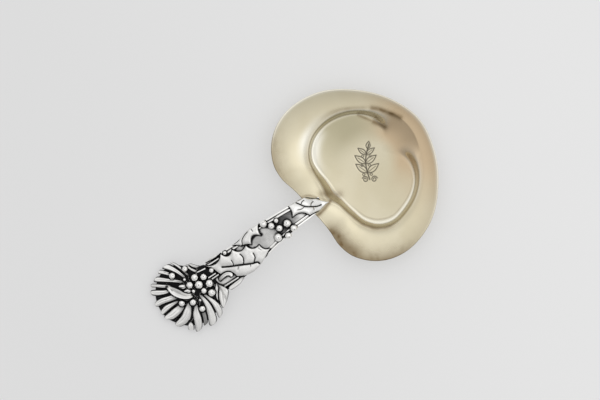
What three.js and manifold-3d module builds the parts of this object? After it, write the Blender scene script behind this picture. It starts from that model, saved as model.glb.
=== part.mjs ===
// Caddy spoon: a gilt heart-shaped bowl and a silver handle of holly, mistletoe leaves and berries.
// Millimetres, +Z up, +X from the handle to the bowl, origin under the middle of the bowl's flat foot.
import * as THREE from "three";
import Module from "manifold-3d";

const wasm = await Module();
wasm.setup();

// Bowl
const BOWL_REACH = 30; // from the centre of the heart to the far side of a lobe
const BOWL_CENTRE = 3.5; // of the heart, along its axis from the origin
const BOWL_TURN = THREE.MathUtils.degToRad(6); // heart's axis against the handle
const SHEET = 0.9; // thickness of the bowl's metal
const RIM_HEIGHT = 6.4; // top of the rim where the handle joins
const LIP_HEIGHT = 5.6; // top of the rim at the front
const FLANGE_SLOPE = 0.27; // rise of the flange over its width, from the well up to the rim
const FLANGE_DISH = 1.5; // power of its curve
const SCOOP_FULL = 10; // degrees from the front where the well's wall is one scooped curve
const SCOOP_ENDS = 42; // and where it has become a step
const RIM_ROUND = 0.25; // rounding of the rim's edge
const BOWL_STEPS = 72; // facets around the bowl

// Handle
const HANDLE_RISE = 1.2; // underside of the stem's crest above the rim
const HANDLE_LENGTH = 43.8; // from the rim to the centre of the fan
const STEM_THICK = 1.5; // rails included
const TONGUE_THICK = 0.5; // end of the stem, over the bowl
const TONGUE_LENGTH = 4; // past the rim
const PANEL_DEPTH = 0.45; // sunk panel between the rails
const RAIL_WIDTH = 0.55; // each of the two rails at an edge
const RAIL_GROOVE = 0.35; // between them
const STEM_BEVEL = 0.7; // rounding under the stem's edges
const RIM_SEAT = 0.2; // stem's tongue above the bowl
const SEAT = 0.06; // joint under a leaf, twig or berry
const SIDE_GAP = 0.12; // between neighbours on the handle

// Fan at the end of the handle
const FAN_OFFSET = -1.2; // its centre against the handle's axis
const FAN_RADIUS = 10.6; // of the plate under the leaves
const FAN_EDGE = 1; // plate's thickness at its edge
const FAN_CROWN = 2.1; // and in its middle
const FAN_FLAT = 8.4; // from the centre to the straight edge that meets the stem

// Leaves and berries
const UNIT = 1; // length of one unit in the drawings of the handle
const LEAF_THICK = 0.95; // mistletoe leaf along its crown
const LEAF_SPREAD = 0.13; // how far a leaf swells past its drawn edges
const HOLLY_THICK = 1.1;
const HOLLY_EDGE = 0.4;
const CURL_THICK = 1.9; // curled leaf over the fan
const BERRY_SINK = 0.6; // height of a berry's centre over its seat, in radii
const TWIG_WIDTH = 0.62;
const SPINE_WIDTH = 0.24; // holly leaf at its points
const TWIG_HEIGHT = 0.71;
const CUT_REACH = 2 * CURL_THICK; // a cutter passes the tallest piece, up and down

// The handle is drawn with x = 0 at the bowl's rim
const FAN_X = -HANDLE_LENGTH;
const STEM_END = FAN_X + FAN_FLAT;

// Heart by degrees from its front, as shares of the bowl's reach. The rim is alike on both sides.
const HEART_RIM = [
  [0, 0.65], [30, 0.655], [60, 0.725], [90, 0.88], [110, 0.975], [125, 1],
  [140, 0.966], [150, 0.9], [160, 0.81], [170, 0.767], [180, 0.76],
];
const HEART_SHOULDER = [
  [-180, 0.6], [-166, 0.562], [-152, 0.6], [-138, 0.672], [-124, 0.722], [-112, 0.72], [-97, 0.672],
  [-80, 0.615], [-60, 0.555], [-35, 0.515], [0, 0.525], [25, 0.532], [50, 0.528], [65, 0.548], [88, 0.612],
  [108, 0.655], [122, 0.669], [136, 0.655], [148, 0.62], [160, 0.583], [170, 0.576], [180, 0.6],
];
const HEART_FOOT = [
  [-180, 0.43], [-160, 0.458], [-147, 0.494], [-135, 0.552], [-122, 0.588], [-108, 0.59], [-95, 0.55],
  [-80, 0.512], [-62, 0.458], [-42, 0.36], [-20, 0.21], [0, 0.15], [15, 0.2], [30, 0.31], [45, 0.405],
  [62, 0.463], [85, 0.505], [105, 0.54], [122, 0.55], [138, 0.525], [150, 0.477], [163, 0.438], [180, 0.43],
];

// Steepness of the step by degrees from the front: 2 is a soft wave, 5 nearly upright
const WALL_STEEP = [
  [-180, 2.2], [-150, 2.6], [-110, 3.2], [-45, 3], [0, 2.5], [60, 2.8], [85, 3.2], [112, 5], [138, 5],
  [158, 2.8], [180, 2.2],
];

// Smooth curve through knots of [position, value], level at both ends
function through(knots, at) {
  let i = 0;
  while (i < knots.length - 2 && at > knots[i + 1][0]) i += 1;
  const slope = (k) => {
    if (k === 0 || k === knots.length - 1) return 0;
    return (knots[k + 1][1] - knots[k - 1][1]) / (knots[k + 1][0] - knots[k - 1][0]);
  };
  const span = knots[i + 1][0] - knots[i][0];
  const s = clamp((at - knots[i][0]) / span, 0, 1);
  const value = knots[i][1] * (1 + 2 * s) * (1 - s) ** 2 + knots[i + 1][1] * s * s * (3 - 2 * s);
  return value + span * s * (1 - s) * (slope(i) * (1 - s) - slope(i + 1) * s);
}

const mix = THREE.MathUtils.lerp;
const clamp = THREE.MathUtils.clamp;
const ease = (s) => clamp(s, 0, 1) ** 2 * (3 - 2 * clamp(s, 0, 1));
const heart = (knots, angle) => BOWL_REACH * through(knots, THREE.MathUtils.radToDeg(angle));

// Closed solid over rings of equal length, each end shut by a fan about the ring's middle
function loft(rings) {
  const count = rings[0].length;
  const points = rings.flat();
  const faces = [];
  for (let r = 0; r < rings.length - 1; r += 1) {
    for (let k = 0; k < count; k += 1) {
      const a = r * count + k;
      const b = r * count + ((k + 1) % count);
      faces.push(a, b, b + count, a, b + count, a + count);
    }
  }
  const shut = (ring, start, turned) => {
    const middle = [0, 1, 2].map((axis) => ring.reduce((sum, p) => sum + p[axis], 0) / count);
    const hub = points.push(middle) - 1;
    for (let k = 0; k < count; k += 1) {
      const pair = [start + k, start + ((k + 1) % count)];
      faces.push(hub, ...(turned ? pair : pair.reverse()));
    }
  };
  shut(rings[0], 0, false);
  shut(rings.at(-1), (rings.length - 1) * count, true);
  return solid(points, faces);
}

// Geometry from points and faces, turned right side out
function solid(points, faces) {
  let volume = 0;
  for (let f = 0; f < faces.length; f += 3) {
    const [a, b, c] = [0, 1, 2].map((k) => new THREE.Vector3(...points[faces[f + k]]));
    volume += a.dot(b.cross(c));
  }
  const geometry = new THREE.BufferGeometry();
  geometry.setAttribute("position", new THREE.Float32BufferAttribute(points.flat(), 3));
  geometry.setIndex(volume < 0 ? [...faces].reverse() : faces);
  return geometry;
}

// What is left of a geometry once the cutters are taken away: its largest body
function trimmed(geometry, cutters) {
  if (cutters.length === 0) return geometry;
  const body = (g) => new wasm.Manifold(new wasm.Mesh({
    numProp: 3,
    vertProperties: new Float32Array(g.attributes.position.array),
    triVerts: new Uint32Array(g.index.array),
  }));
  const rest = cutters.reduce((kept, cutter) => kept.subtract(body(cutter)), body(geometry));
  const largest = rest.decompose().sort((a, b) => b.volume() - a.volume())[0];
  const mesh = largest.getMesh();
  const out = new THREE.BufferGeometry();
  out.setAttribute("position", new THREE.Float32BufferAttribute(mesh.vertProperties, 3));
  out.setIndex([...mesh.triVerts]);
  return out;
}

// Bowl: flange, wall of the well and floor, with the underside one sheet below
function bowlProfile(angle) {
  const rim = heart(HEART_RIM, Math.abs(angle));
  const shoulder = heart(HEART_SHOULDER, angle);
  const foot = heart(HEART_FOOT, angle);
  const degrees = THREE.MathUtils.radToDeg(Math.abs(angle));
  const top = mix(LIP_HEIGHT, RIM_HEIGHT, ease(degrees / 180));
  const drop = FLANGE_SLOPE * (rim - shoulder);
  const ledge = top - drop;
  const scoop = ease((SCOOP_ENDS - degrees) / (SCOOP_ENDS - SCOOP_FULL));
  const steep = through(WALL_STEEP, THREE.MathUtils.radToDeg(angle));
  const step = (s) => s ** steep / (s ** steep + (1 - s) ** steep);
  const profile = [];
  for (const s of [0, 0.35, 0.7]) {
    profile.push([mix(rim - RIM_ROUND, shoulder, s), ledge + drop * (1 - s) ** FLANGE_DISH]);
  }
  for (const s of [0, 0.25, 0.5, 0.75, 1]) {
    const rise = mix(step(1 - s), (1 - s) ** 2, scoop);
    profile.push([mix(shoulder, foot, s), mix(SHEET, ledge, rise)]);
  }
  profile.push([foot * 0.5, SHEET]);
  const under = profile.map(([r, z], i) => {
    const [r0, z0] = profile[Math.max(i - 1, 0)];
    const [r1, z1] = profile[Math.min(i + 1, profile.length - 1)];
    const length = Math.hypot(r1 - r0, z1 - z0);
    const low = z === SHEET ? 0 : Math.max(z + (SHEET * (r1 - r0)) / length, 0);
    return [r - (SHEET * (z1 - z0)) / length, low];
  });
  const edge = [rim, (profile[0][1] + under[0][1]) / 2];
  under[0][0] = Math.min(under[0][0], rim - RIM_ROUND / 2);
  return [...under.reverse(), edge, ...profile];
}

function bowlGeometry() {
  const profiles = [];
  for (let k = 0; k < BOWL_STEPS; k += 1) {
    const angle = (k / BOWL_STEPS) * 2 * Math.PI;
    const signed = angle > Math.PI ? angle - 2 * Math.PI : angle;
    profiles.push({ angle: angle + BOWL_TURN, line: bowlProfile(signed) });
  }
  const cx = BOWL_CENTRE * Math.cos(BOWL_TURN);
  const cy = BOWL_CENTRE * Math.sin(BOWL_TURN);
  const rings = profiles[0].line.map((_, i) => profiles.map(({ angle, line }) => [
    cx + line[i][0] * Math.cos(angle), cy + line[i][0] * Math.sin(angle), line[i][1],
  ]));
  return loft(rings);
}

// Side view of the handle: height of its underside, from the tip of the fan to the well
const RIM_X = BOWL_CENTRE - heart(HEART_RIM, Math.PI);
const WELL_X = heart(HEART_RIM, Math.PI) - heart(HEART_SHOULDER, Math.PI);
const WELL_DROP = FLANGE_SLOPE * WELL_X;
const CREST = RIM_HEIGHT + HANDLE_RISE;
const RIM_TOP = RIM_HEIGHT + RIM_SEAT;
const stemAt = (share) => mix(STEM_END, 0, share);
const TABLE_GAP = 0.02; // under the fan's tip
const SWEEP = [
  [FAN_X - 1.23 * FAN_RADIUS, TABLE_GAP], [FAN_X - 0.47 * FAN_RADIUS, 0.04 * CREST],
  [STEM_END - 0.23 * FAN_RADIUS, 0.29 * CREST], [stemAt(0.24), 0.66 * CREST], [stemAt(0.52), 0.92 * CREST],
  [stemAt(0.78), CREST], [0, RIM_TOP], [WELL_X / 2, RIM_TOP - WELL_DROP * (1 - 0.5 ** FLANGE_DISH)],
  [WELL_X, RIM_TOP - WELL_DROP], [2 * WELL_X, RIM_TOP - 1.5 * WELL_DROP],
];
const sweep = (x) => through(SWEEP, x);

// Plan of the stem in drawing units, and its thickness, which runs out to a tongue over the rim
const STEM_LEFT = [
  [STEM_END, 3.7], [stemAt(0.21), 3.5], [stemAt(0.33), 3.4], [stemAt(0.47), 4.1],
  [stemAt(0.7), 3.75], [stemAt(0.86), 3.3], [0.6, 2.6], [TONGUE_LENGTH, 0.4],
];
const STEM_RIGHT = [
  [STEM_END, -6.6], [stemAt(0.1), -7.1], [stemAt(0.17), -6.8], [stemAt(0.3), -6.2],
  [stemAt(0.47), -5.3], [stemAt(0.61), -4.5], [stemAt(0.81), -3.6], [0.2, -3.3],
  [TONGUE_LENGTH, -2.5],
];
const STEM_TOP = [
  [STEM_END, STEM_THICK], [stemAt(0.86), STEM_THICK], [0.2, 0.75 * STEM_THICK],
  [TONGUE_LENGTH, TONGUE_THICK], [2 * TONGUE_LENGTH, 0.5 * TONGUE_THICK],
];
const stemTop = (x) => through(STEM_TOP, x);
const STEM_STEPS = 34;

// Half of the stem's top from its edge inwards: outer rail, groove, inner rail, panel
function railSection(width, top) {
  const rail = Math.min(RAIL_WIDTH, width / 8);
  const groove = RAIL_GROOVE * Math.min(1, width / 6);
  const panel = top - (PANEL_DEPTH * top) / STEM_THICK;
  const trough = mix(top, panel, 0.7);
  const inner = rail + groove;
  return [
    [STEM_BEVEL, 0], [0, 0.3 * top], [0.25 * rail, top], [0.85 * rail, top], [rail, trough],
    [inner, trough], [inner + 0.15 * rail, top], [inner + 0.85 * rail, top], [inner + rail, panel],
  ];
}

function stemGeometry() {
  const rings = [];
  for (let i = 0; i <= STEM_STEPS; i += 1) {
    const x = mix(STEM_END + SIDE_GAP, TONGUE_LENGTH, i / STEM_STEPS);
    const left = UNIT * through(STEM_LEFT, x);
    const right = UNIT * through(STEM_RIGHT, x);
    const half = railSection(left - right, stemTop(x));
    const across = [
      ...half.map(([inset, z]) => [right + inset, z]),
      [(left + right) / 2, half.at(-1)[1]],
      ...half.map(([inset, z]) => [left - inset, z]).reverse(),
    ];
    rings.push(across.map(([y, z]) => [x, y, z]));
  }
  return loft(rings);
}

// Plate under the fan: reach from its middle by direction, with one straight edge against the stem
const PLATE_REACH = [
  [-180, 1], [-120, 0.96], [-60, 0.93], [-30, 0.95], [10, 0.82], [40, 0.79], [68, 0.79],
  [92, 0.92], [125, 1], [180, 1],
];
const PLATE_STEPS = 48;
const dome = (x, y) => {
  const share = Math.hypot(x - FAN_X, y - FAN_OFFSET) / FAN_RADIUS;
  return FAN_EDGE + (FAN_CROWN - FAN_EDGE) * (1 - share * share);
};

function plateGeometry() {
  const ring = (share, height) => {
    const points = [];
    for (let k = 0; k < PLATE_STEPS; k += 1) {
      const angle = (k / PLATE_STEPS - 0.5) * 2 * Math.PI;
      const free = FAN_RADIUS * through(PLATE_REACH, THREE.MathUtils.radToDeg(angle));
      const reach = Math.min(free, FAN_FLAT / Math.max(Math.cos(angle), 1e-6));
      const x = FAN_X + share * reach * Math.cos(angle);
      const y = FAN_OFFSET + share * reach * Math.sin(angle);
      points.push([x, y, height === null ? dome(x, y) : height]);
    }
    return points;
  };
  const rings = [ring(0.3, 0), ring(0.7, 0), ring(0.96, 0), ring(1, 0.4), ring(1, null)];
  for (const share of [0.8, 0.6, 0.4, 0.2]) rings.push(ring(share, null));
  return loft(rings);
}

// Solid leaf between two edges, on a level seat. Section points are [share across, share of the height].
// A cutter is the same leaf grown sideways and drawn out up and down.
const CONVEX = [[0, 0], [0.5, 0], [1, 0], [1, 0.45], [0.8, 0.85], [0.5, 1], [0.2, 0.85], [0, 0.45]];
const CUPPED = [[0, 0], [0.5, 0], [1, 0], [1, 0.7], [0.84, 1], [0.5, 0.55], [0.16, 1], [0, 0.7]];

function leafGeometry(edges, stations, section, height, grow = 0) {
  const rings = stations.map((u) => {
    const [left, right] = edges(u);
    const width = left.distanceTo(right);
    const out = grow / width;
    return section.map(([across, rise]) => {
      const at = left.clone().lerp(right, mix(-out, 1 + out, across));
      const level = rise > 0 ? CUT_REACH : -CUT_REACH;
      return [at.x, at.y, grow > 0 ? level : rise * height(u)];
    });
  });
  return loft(rings);
}

function leaf(name, seat, edges, stations, section, height) {
  return {
    name,
    seat,
    shape: leafGeometry(edges, stations, section, height),
    cutter: leafGeometry(edges, stations, section, height, SIDE_GAP),
  };
}

// Pieces are drawn about the fan's centre, the stem's end at the fan, or the rim
const ORIGINS = { fan: [FAN_X, FAN_OFFSET], neck: [STEM_END, 0], rail: [0, 0], panel: [0, 0] };

function plan(list, seat) {
  const [x0, y0] = ORIGINS[seat];
  return list.map(([x, y]) => new THREE.Vector2(x0 + UNIT * x, y0 + UNIT * y));
}

// Mistletoe leaf: smooth edges from base to tip, drawn together over the last of its length
const LEAF_STATIONS = [0, 0.16, 0.34, 0.52, 0.7, 0.85, 0.95, 1];
const TIP_START = 0.84;

function mistletoe(name, seat, drawn, thick = LEAF_THICK, section = CONVEX) {
  const sides = drawn.map((list) => new THREE.SplineCurve(plan(list, seat)));
  const edges = (u) => {
    const [a, b] = sides.map((side) => side.getPoint(u));
    const past = Math.max((u - TIP_START) / (1 - TIP_START), 0);
    const full = LEAF_SPREAD / a.distanceTo(b);
    const inset = 0.5 - (0.5 + full) * Math.sqrt(Math.max(1 - past ** 2.4, 0.03));
    return [a.clone().lerp(b, inset), b.clone().lerp(a, inset)];
  };
  const height = (u) => thick * mix(0.7, 1, Math.sin(Math.PI * mix(0.12, 0.98, u)));
  return leaf(name, seat, edges, LEAF_STATIONS, section, height);
}

// Holly leaf: each edge runs from spine to spine, [x, y, depth of the round bite to the next]
const BITE_STEPS = 5;

function holly(name, seat, drawn) {
  const bites = drawn[0].length - 1;
  const side = (spines, inward) => (u) => {
    const i = Math.min(Math.floor(u * bites), bites - 1);
    const s = u * bites - i;
    const [from, to] = plan([spines[i], spines[i + 1]], seat);
    const along = to.clone().sub(from).normalize();
    const aside = new THREE.Vector2(along.y, -along.x).multiplyScalar(inward);
    return from.lerp(to, s).addScaledVector(aside, UNIT * spines[i][2] * 4 * s * (1 - s));
  };
  const sides = [side(drawn[0], 1), side(drawn[1], -1)];
  const edges = (u) => {
    const [a, b] = sides.map((at) => at(u));
    const apart = b.clone().sub(a);
    const short = Math.max(SPINE_WIDTH - apart.length(), 0);
    const across = short < SPINE_WIDTH ? apart.normalize() : new THREE.Vector2(0, -1);
    return [a.addScaledVector(across, -short / 2), b.addScaledVector(across, short / 2)];
  };
  const count = BITE_STEPS * bites;
  const stations = [...Array(count + 1).keys()].map((k) => k / count);
  const height = (u) => mix(HOLLY_EDGE, HOLLY_THICK, Math.sin(Math.PI * mix(0.08, 0.95, u)));
  return leaf(name, seat, edges, stations, CONVEX, height);
}

// Round twig laid from one point to another
function twig(name, seat, from, to) {
  const [a, b] = plan([from, to], seat);
  const along = b.clone().sub(a).normalize();
  const half = new THREE.Vector2(-along.y, along.x).multiplyScalar(TWIG_WIDTH / 2);
  const edges = (u) => {
    const at = a.clone().lerp(b, u);
    return [at.clone().add(half), at.clone().sub(half)];
  };
  return leaf(name, seat, edges, [0, 0.25, 0.5, 0.75, 1], CONVEX, () => TWIG_HEIGHT);
}

// Berry: a ball flattened on its seat
const BERRY_SIDES = 12;
const BERRY_RINGS = [0, 0.25, 0.5, 0.75, 0.92];

function berry(name, seat, drawnX, drawnY, drawnRadius) {
  const [{ x, y }] = plan([[drawnX, drawnY]], seat);
  const radius = UNIT * drawnRadius;
  const low = -Math.asin(BERRY_SINK);
  const ring = (r, z) => [...Array(BERRY_SIDES).keys()].map((k) => {
    const angle = (k / BERRY_SIDES) * 2 * Math.PI;
    return [x + r * Math.cos(angle), y + r * Math.sin(angle), z];
  });
  const rings = BERRY_RINGS.map((s) => {
    const tilt = mix(low, Math.PI / 2, s);
    return ring(radius * Math.cos(tilt), radius * (BERRY_SINK + Math.sin(tilt)));
  });
  const clear = radius / Math.cos(Math.PI / BERRY_SIDES) + SIDE_GAP;
  const cutter = loft([ring(clear, -CUT_REACH), ring(clear, CUT_REACH)]);
  return { name, seat, shape: loft(rings), cutter };
}

const berries = [
  ["fan_berry_01", "fan", -1.5, 7.3, 1.05],
  ["fan_berry_02", "fan", 2.8, 6.8, 0.9],
  ["fan_berry_03", "fan", 0.9, 4.3, 0.5],
  ["fan_berry_04", "fan", 1.25, 2.05, 1.1],
  ["fan_berry_05", "fan", 3.75, 3.05, 1.15],
  ["fan_berry_06", "fan", 3.6, 0.55, 1.28],
  ["fan_berry_07", "fan", 6.05, 1.65, 1.05],
  ["fan_berry_08", "neck", 0.7, 0.75, 0.75],
  ["fan_berry_09", "fan", 6.4, -0.9, 1.2],
  ["fan_berry_10", "fan", 3.8, -1.75, 0.95],
  ["fan_berry_11", "fan", 5.4, -3.55, 1.15],
  ["fan_berry_12", "fan", -3.8, -1.05, 1],
  ["fan_berry_13", "fan", -0.9, -2.7, 1.05],
  ["fan_berry_14", "fan", 0.3, -5.9, 0.95],
  ["fan_berry_15", "fan", 1.25, -3.4, 0.5],
  ["fan_berry_16", "fan", 1.1, -0.1, 0.65],
  ["stem_berry_1", "rail", -14, 3.2, 1.1],
  ["stem_berry_2", "rail", -12.4, 1.35, 1],
  ["stem_berry_3", "rail", -10.3, 1.8, 0.7],
  ["stem_berry_4", "panel", -10.8, -0.6, 1.05],
  ["stem_berry_5", "panel", -8.1, -0.75, 1.2],
  ["stem_berry_6", "rail", -12.7, -2.6, 1.22],
  ["stem_berry_7", "rail", -9.9, -4, 1.1],
  ["stem_berry_8", "rail", -7.3, -3.1, 1.1],
  ["stem_berry_9", "neck", 7, 2.7, 0.6],
].map((row) => berry(...row));

const hollyLeaves = [
  holly("large_holly_leaf", "neck", [
    [[0.1, 2.8, 1.4], [5.8, 3.2, 1.4], [9.4, 2.3, 1.3], [13.5, 1.1, 1.1], [16.8, -1.2, 0.6],
      [18.7, -3.9]],
    [[0.1, 2.8, 0.2], [2.3, -1.8, 1.2], [6, -5, -0.4], [10.6, -6.8, -0.2], [15.1, -5.8, 0],
      [18.7, -3.9]],
  ]),
  holly("side_holly_leaf", "neck", [
    [[10.4, 3.3, 0.1], [12.6, 3.3, -0.1], [14.6, 4.1, -0.1], [17.6, 4.4, 0.15], [20.4, 4.3]],
    [[10.4, 3.3, 0.1], [12.2, 1.6, 0.3], [15, 0.2, 1.7], [18.85, 0.75, 0.5], [20.4, 4.3]],
  ]),
  holly("tip_holly_leaf", "rail", [
    [[-4.8, 3.4, 0.1], [-2.3, 3.15, 0.1], [0.5, 2.75, 0.2], [3.2, 0.45, 0.1], [5.8, -2.65]],
    [[-4.8, 3.4, 0.4], [-5.75, -0.15, 1.1], [-1.15, -2.6, 0.1], [2.3, -3.2, 0.1], [5.8, -2.65]],
  ]),
  holly("edge_holly_leaf", "neck", [
    [[0.7, 3.7, 0.1], [2.3, 4.2, 0.2], [4, 4.1, 0.2], [5.7, 3.5]],
    [[0.7, 3.7, 0], [2.6, 3.3, 0], [4.1, 3.2, 0], [5.7, 3.5]],
  ]),
];

const LOW_LEAF = 0.6 * LEAF_THICK;
const leaves = [
  mistletoe("curled_leaf", "fan", [
    [[0.1, -0.3], [-0.8, 0.3], [-1.6, 1.3], [-2.2, 2.6], [-3.3, 4.3], [-4.3, 5.8]],
    [[0.1, -1.3], [-1.3, -1.1], [-2.8, -0.1], [-4.1, 1.5], [-4.8, 3.2], [-5, 5.6]],
  ], CURL_THICK, CUPPED),
  mistletoe("fan_leaf_01", "fan", [
    [[5.6, 5], [4.7, 6.3], [4.3, 7.4]],
    [[7.1, 5.1], [6.2, 5.9], [5, 7.5]],
  ]),
  mistletoe("fan_leaf_02", "fan", [
    [[4.6, 4.2], [3.8, 5.8], [3.5, 7.5]],
    [[5.7, 4.4], [4.6, 6.1], [4.1, 7.9]],
  ]),
  mistletoe("fan_leaf_03", "fan", [
    [[2.1, 4.9], [1.7, 7.1], [0.9, 9.3], [0.1, 10.9]],
    [[2.9, 4.9], [2.4, 7.2], [1.8, 9.2], [0.9, 10.8]],
  ]),
  mistletoe("fan_leaf_04", "fan", [
    [[0.8, 4.9], [-0.1, 7.2], [-1.5, 9.3], [-3.2, 11.1]],
    [[1.8, 4.8], [1.3, 7.1], [0.6, 9.2], [-0.3, 11.1]],
  ]),
  mistletoe("fan_leaf_05", "fan", [
    [[-1.6, 6.8], [-3.1, 8.7], [-4.8, 10.3]],
    [[-0.9, 7.5], [-2, 9.4], [-3.6, 11.1]],
  ]),
  mistletoe("fan_leaf_06", "fan", [
    [[-0.4, 3.7], [-2.3, 5.2], [-4.5, 6.9], [-7.6, 9.1]],
    [[0.3, 4.4], [-1.4, 6.1], [-3.2, 7.8], [-5.5, 10.1]],
  ]),
  mistletoe("fan_leaf_07", "fan", [
    [[-4.2, 4.7], [-6.1, 6], [-7.4, 7.1], [-8.8, 8.2]],
    [[-3.3, 5.4], [-5.3, 6.9], [-6.7, 8], [-8.2, 9.1]],
  ]),
  mistletoe("fan_leaf_08", "fan", [
    [[-4.4, 3.3], [-7, 4.1], [-8.7, 4.9], [-10.1, 6.2]],
    [[-4.2, 4.3], [-6.3, 5.6], [-7.8, 6.7], [-9.5, 7.6]],
  ]),
  mistletoe("fan_leaf_09", "fan", [
    [[-3.6, 0.5], [-6.6, 1.4], [-8.8, 2], [-11, 2.5]],
    [[-4.2, 2.5], [-6.3, 3.1], [-8.3, 3.7], [-10.6, 3.7]],
  ]),
  mistletoe("fan_leaf_10", "fan", [
    [[-4.3, -0.2], [-7.2, -0.3], [-9.1, -0.5], [-10.8, -0.7]],
    [[-4.2, 0.2], [-6.9, 0.9], [-8.8, 1.1], [-10.6, 0.5]],
  ]),
  mistletoe("fan_leaf_11", "fan", [
    [[-3.8, -2.6], [-6.1, -3.3], [-8.2, -3.5], [-10.3, -2.7]],
    [[-4, -0.9], [-6.9, -1], [-8.8, -1.2], [-10.9, -1.4]],
  ]),
  mistletoe("fan_leaf_12", "fan", [
    [[-2.1, -3.8], [-3.7, -5.7], [-5.6, -6.7], [-8.8, -6.5]],
    [[-1.8, -1.7], [-4.1, -2.9], [-6.3, -4.2], [-9.3, -4.8]],
  ]),
  mistletoe("fan_leaf_13", "fan", [
    [[-4.7, -7.2], [-4.8, -8.6], [-5.5, -9.7]],
    [[-5.3, -7.1], [-6.2, -7.7], [-6.8, -8.9]],
  ]),
  mistletoe("fan_leaf_14", "fan", [
    [[-0.2, -3.8], [-1.1, -6.2], [-1.8, -8.5], [-3.3, -10.8]],
    [[-1.2, -3.9], [-3, -5.8], [-4.3, -8.5], [-5.4, -10.8]],
  ]),
  mistletoe("fan_leaf_15", "fan", [
    [[0.6, -6.8], [0.1, -8.7], [-0.9, -10.4]],
    [[-0.7, -6.8], [-1.5, -8.7], [-2.4, -10.5]],
  ], LOW_LEAF),
  mistletoe("fan_leaf_16", "fan", [
    [[2.3, -1.9], [3, -5.4], [2.7, -8.6], [1.8, -11.7]],
    [[1.8, -2], [1.6, -5.1], [0.6, -8.1], [-1.2, -11.8]],
  ]),
  mistletoe("fan_leaf_17", "fan", [
    [[3.4, -2.4], [4.9, -6.2], [5, -9], [4, -10.9]],
    [[2.9, -2.5], [3.5, -6], [3.2, -9], [2.7, -11.2]],
  ]),
  mistletoe("fan_leaf_18", "fan", [
    [[8.3, -2.5], [9.8, -5.4], [8.8, -7.1], [6.5, -9]],
    [[8.1, -3.7], [7, -4.9], [6.1, -6.4], [5.2, -9.5]],
  ]),
  mistletoe("fan_leaf_19", "fan", [
    [[8.2, -3.4], [6.7, -5], [5.6, -7.1]],
    [[8.2, -1.8], [7, -2.9], [5.6, -5.4]],
  ], LOW_LEAF),
  mistletoe("stem_leaf", "neck", [
    [[7.6, -6.1], [5.1, -6.2], [1.8, -6.4]],
    [[7.6, -6.6], [5.1, -7.4], [2, -7.4]],
  ], LOW_LEAF),
  mistletoe("hooked_leaf", "neck", [
    [[0.9, -2.6], [2.4, -2.1], [4, -2.2], [5.2, -2.9], [5.4, -4.2]],
    [[0.9, -3.4], [2.4, -3.2], [3.6, -3.2], [4.2, -3.6], [4.3, -4.3]],
  ]),
  mistletoe("leaflet_1", "fan", [
    [[-0.1, 2.1], [-1.1, 2.2], [-1.9, 3.3]],
    [[0.1, 3], [-0.8, 3.6], [-1.7, 3.8]],
  ]),
  mistletoe("leaflet_2", "fan", [
    [[0.6, 0.2], [-0.4, 0.2], [-1.5, 1]],
    [[0.6, 1], [-0.2, 1.6], [-1.3, 1.7]],
  ]),
];

const twigs = [
  twig("twig_1", "fan", [5, 3.95], [8.1, 3.4]),
  twig("twig_2", "fan", [6.8, 0.6], [9.8, 0.5]),
  twig("twig_3", "fan", [7.4, -0.3], [10.3, -0.3]),
  twig("twig_4", "neck", [0.8, -5.4], [6.4, -5.6]),
];

// Height of each seat above a level table, with the joint included. A fan leaf climbs on to the stem.
const CLIMB = 2;
const railTop = (x) => sweep(x) + stemTop(x) + SEAT;
const seats = {
  fan: (x, y) => {
    const climbed = ease((x - STEM_END) / CLIMB + 1);
    return sweep(x) + Math.max(dome(x, y), climbed * STEM_THICK) + SEAT;
  },
  neck: railTop,
  rail: railTop,
  panel: (x) => sweep(x) + STEM_THICK - PANEL_DEPTH + SEAT,
  none: (x) => sweep(x),
};

function laid(geometry, seat) {
  const place = geometry.attributes.position;
  for (let i = 0; i < place.count; i += 1) {
    place.setZ(i, place.getZ(i) + seats[seat](place.getX(i), place.getY(i)));
  }
  geometry.translate(RIM_X, 0, 0);
  return geometry;
}

const near = (a, b) => {
  a.computeBoundingBox();
  b.computeBoundingBox();
  return a.boundingBox.intersectsBox(b.boundingBox);
};

// Part: earlier pieces on the handle keep their shape, and later ones are cut back to clear them
const group = new THREE.Group();
group.name = "caddy_spoon";

function add(name, geometry, colour, roughness) {
  const flat = geometry.toNonIndexed();
  flat.computeVertexNormals();
  const material = new THREE.MeshStandardMaterial({ color: colour, metalness: 1, roughness });
  const mesh = new THREE.Mesh(flat, material);
  mesh.name = name;
  group.add(mesh);
}

add("bowl", bowlGeometry(), 0xd9cba3, 0.3);
add("stem", laid(stemGeometry(), "none"), 0xc8c8c4, 0.25);
add("fan_plate", laid(plateGeometry(), "none"), 0x8d8d8a, 0.4);
const earlier = [];
for (const piece of [...berries, ...hollyLeaves, ...leaves, ...twigs]) {
  const cutters = berries.includes(piece) ? [] : earlier.filter((cutter) => near(cutter, piece.shape));
  earlier.push(piece.cutter);
  add(piece.name, laid(trimmed(piece.shape, cutters), piece.seat), 0xc8c8c4, 0.25);
}

export default group;
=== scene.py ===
"""Looks of a caddy spoon: a gilt heart-shaped bowl, and a silver handle of holly, mistletoe and berries.

Pieces are shaped in millimetres, in the frame of the solids, and become metres when they are made.
The handle is drawn with x = 0 at the bowl's rim.
"""
from math import cos, hypot, pi, radians, sin, sqrt

import bpy
import numpy as np
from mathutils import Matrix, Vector
from mathutils.bvhtree import BVHTree
from numpy.linalg import norm


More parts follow.
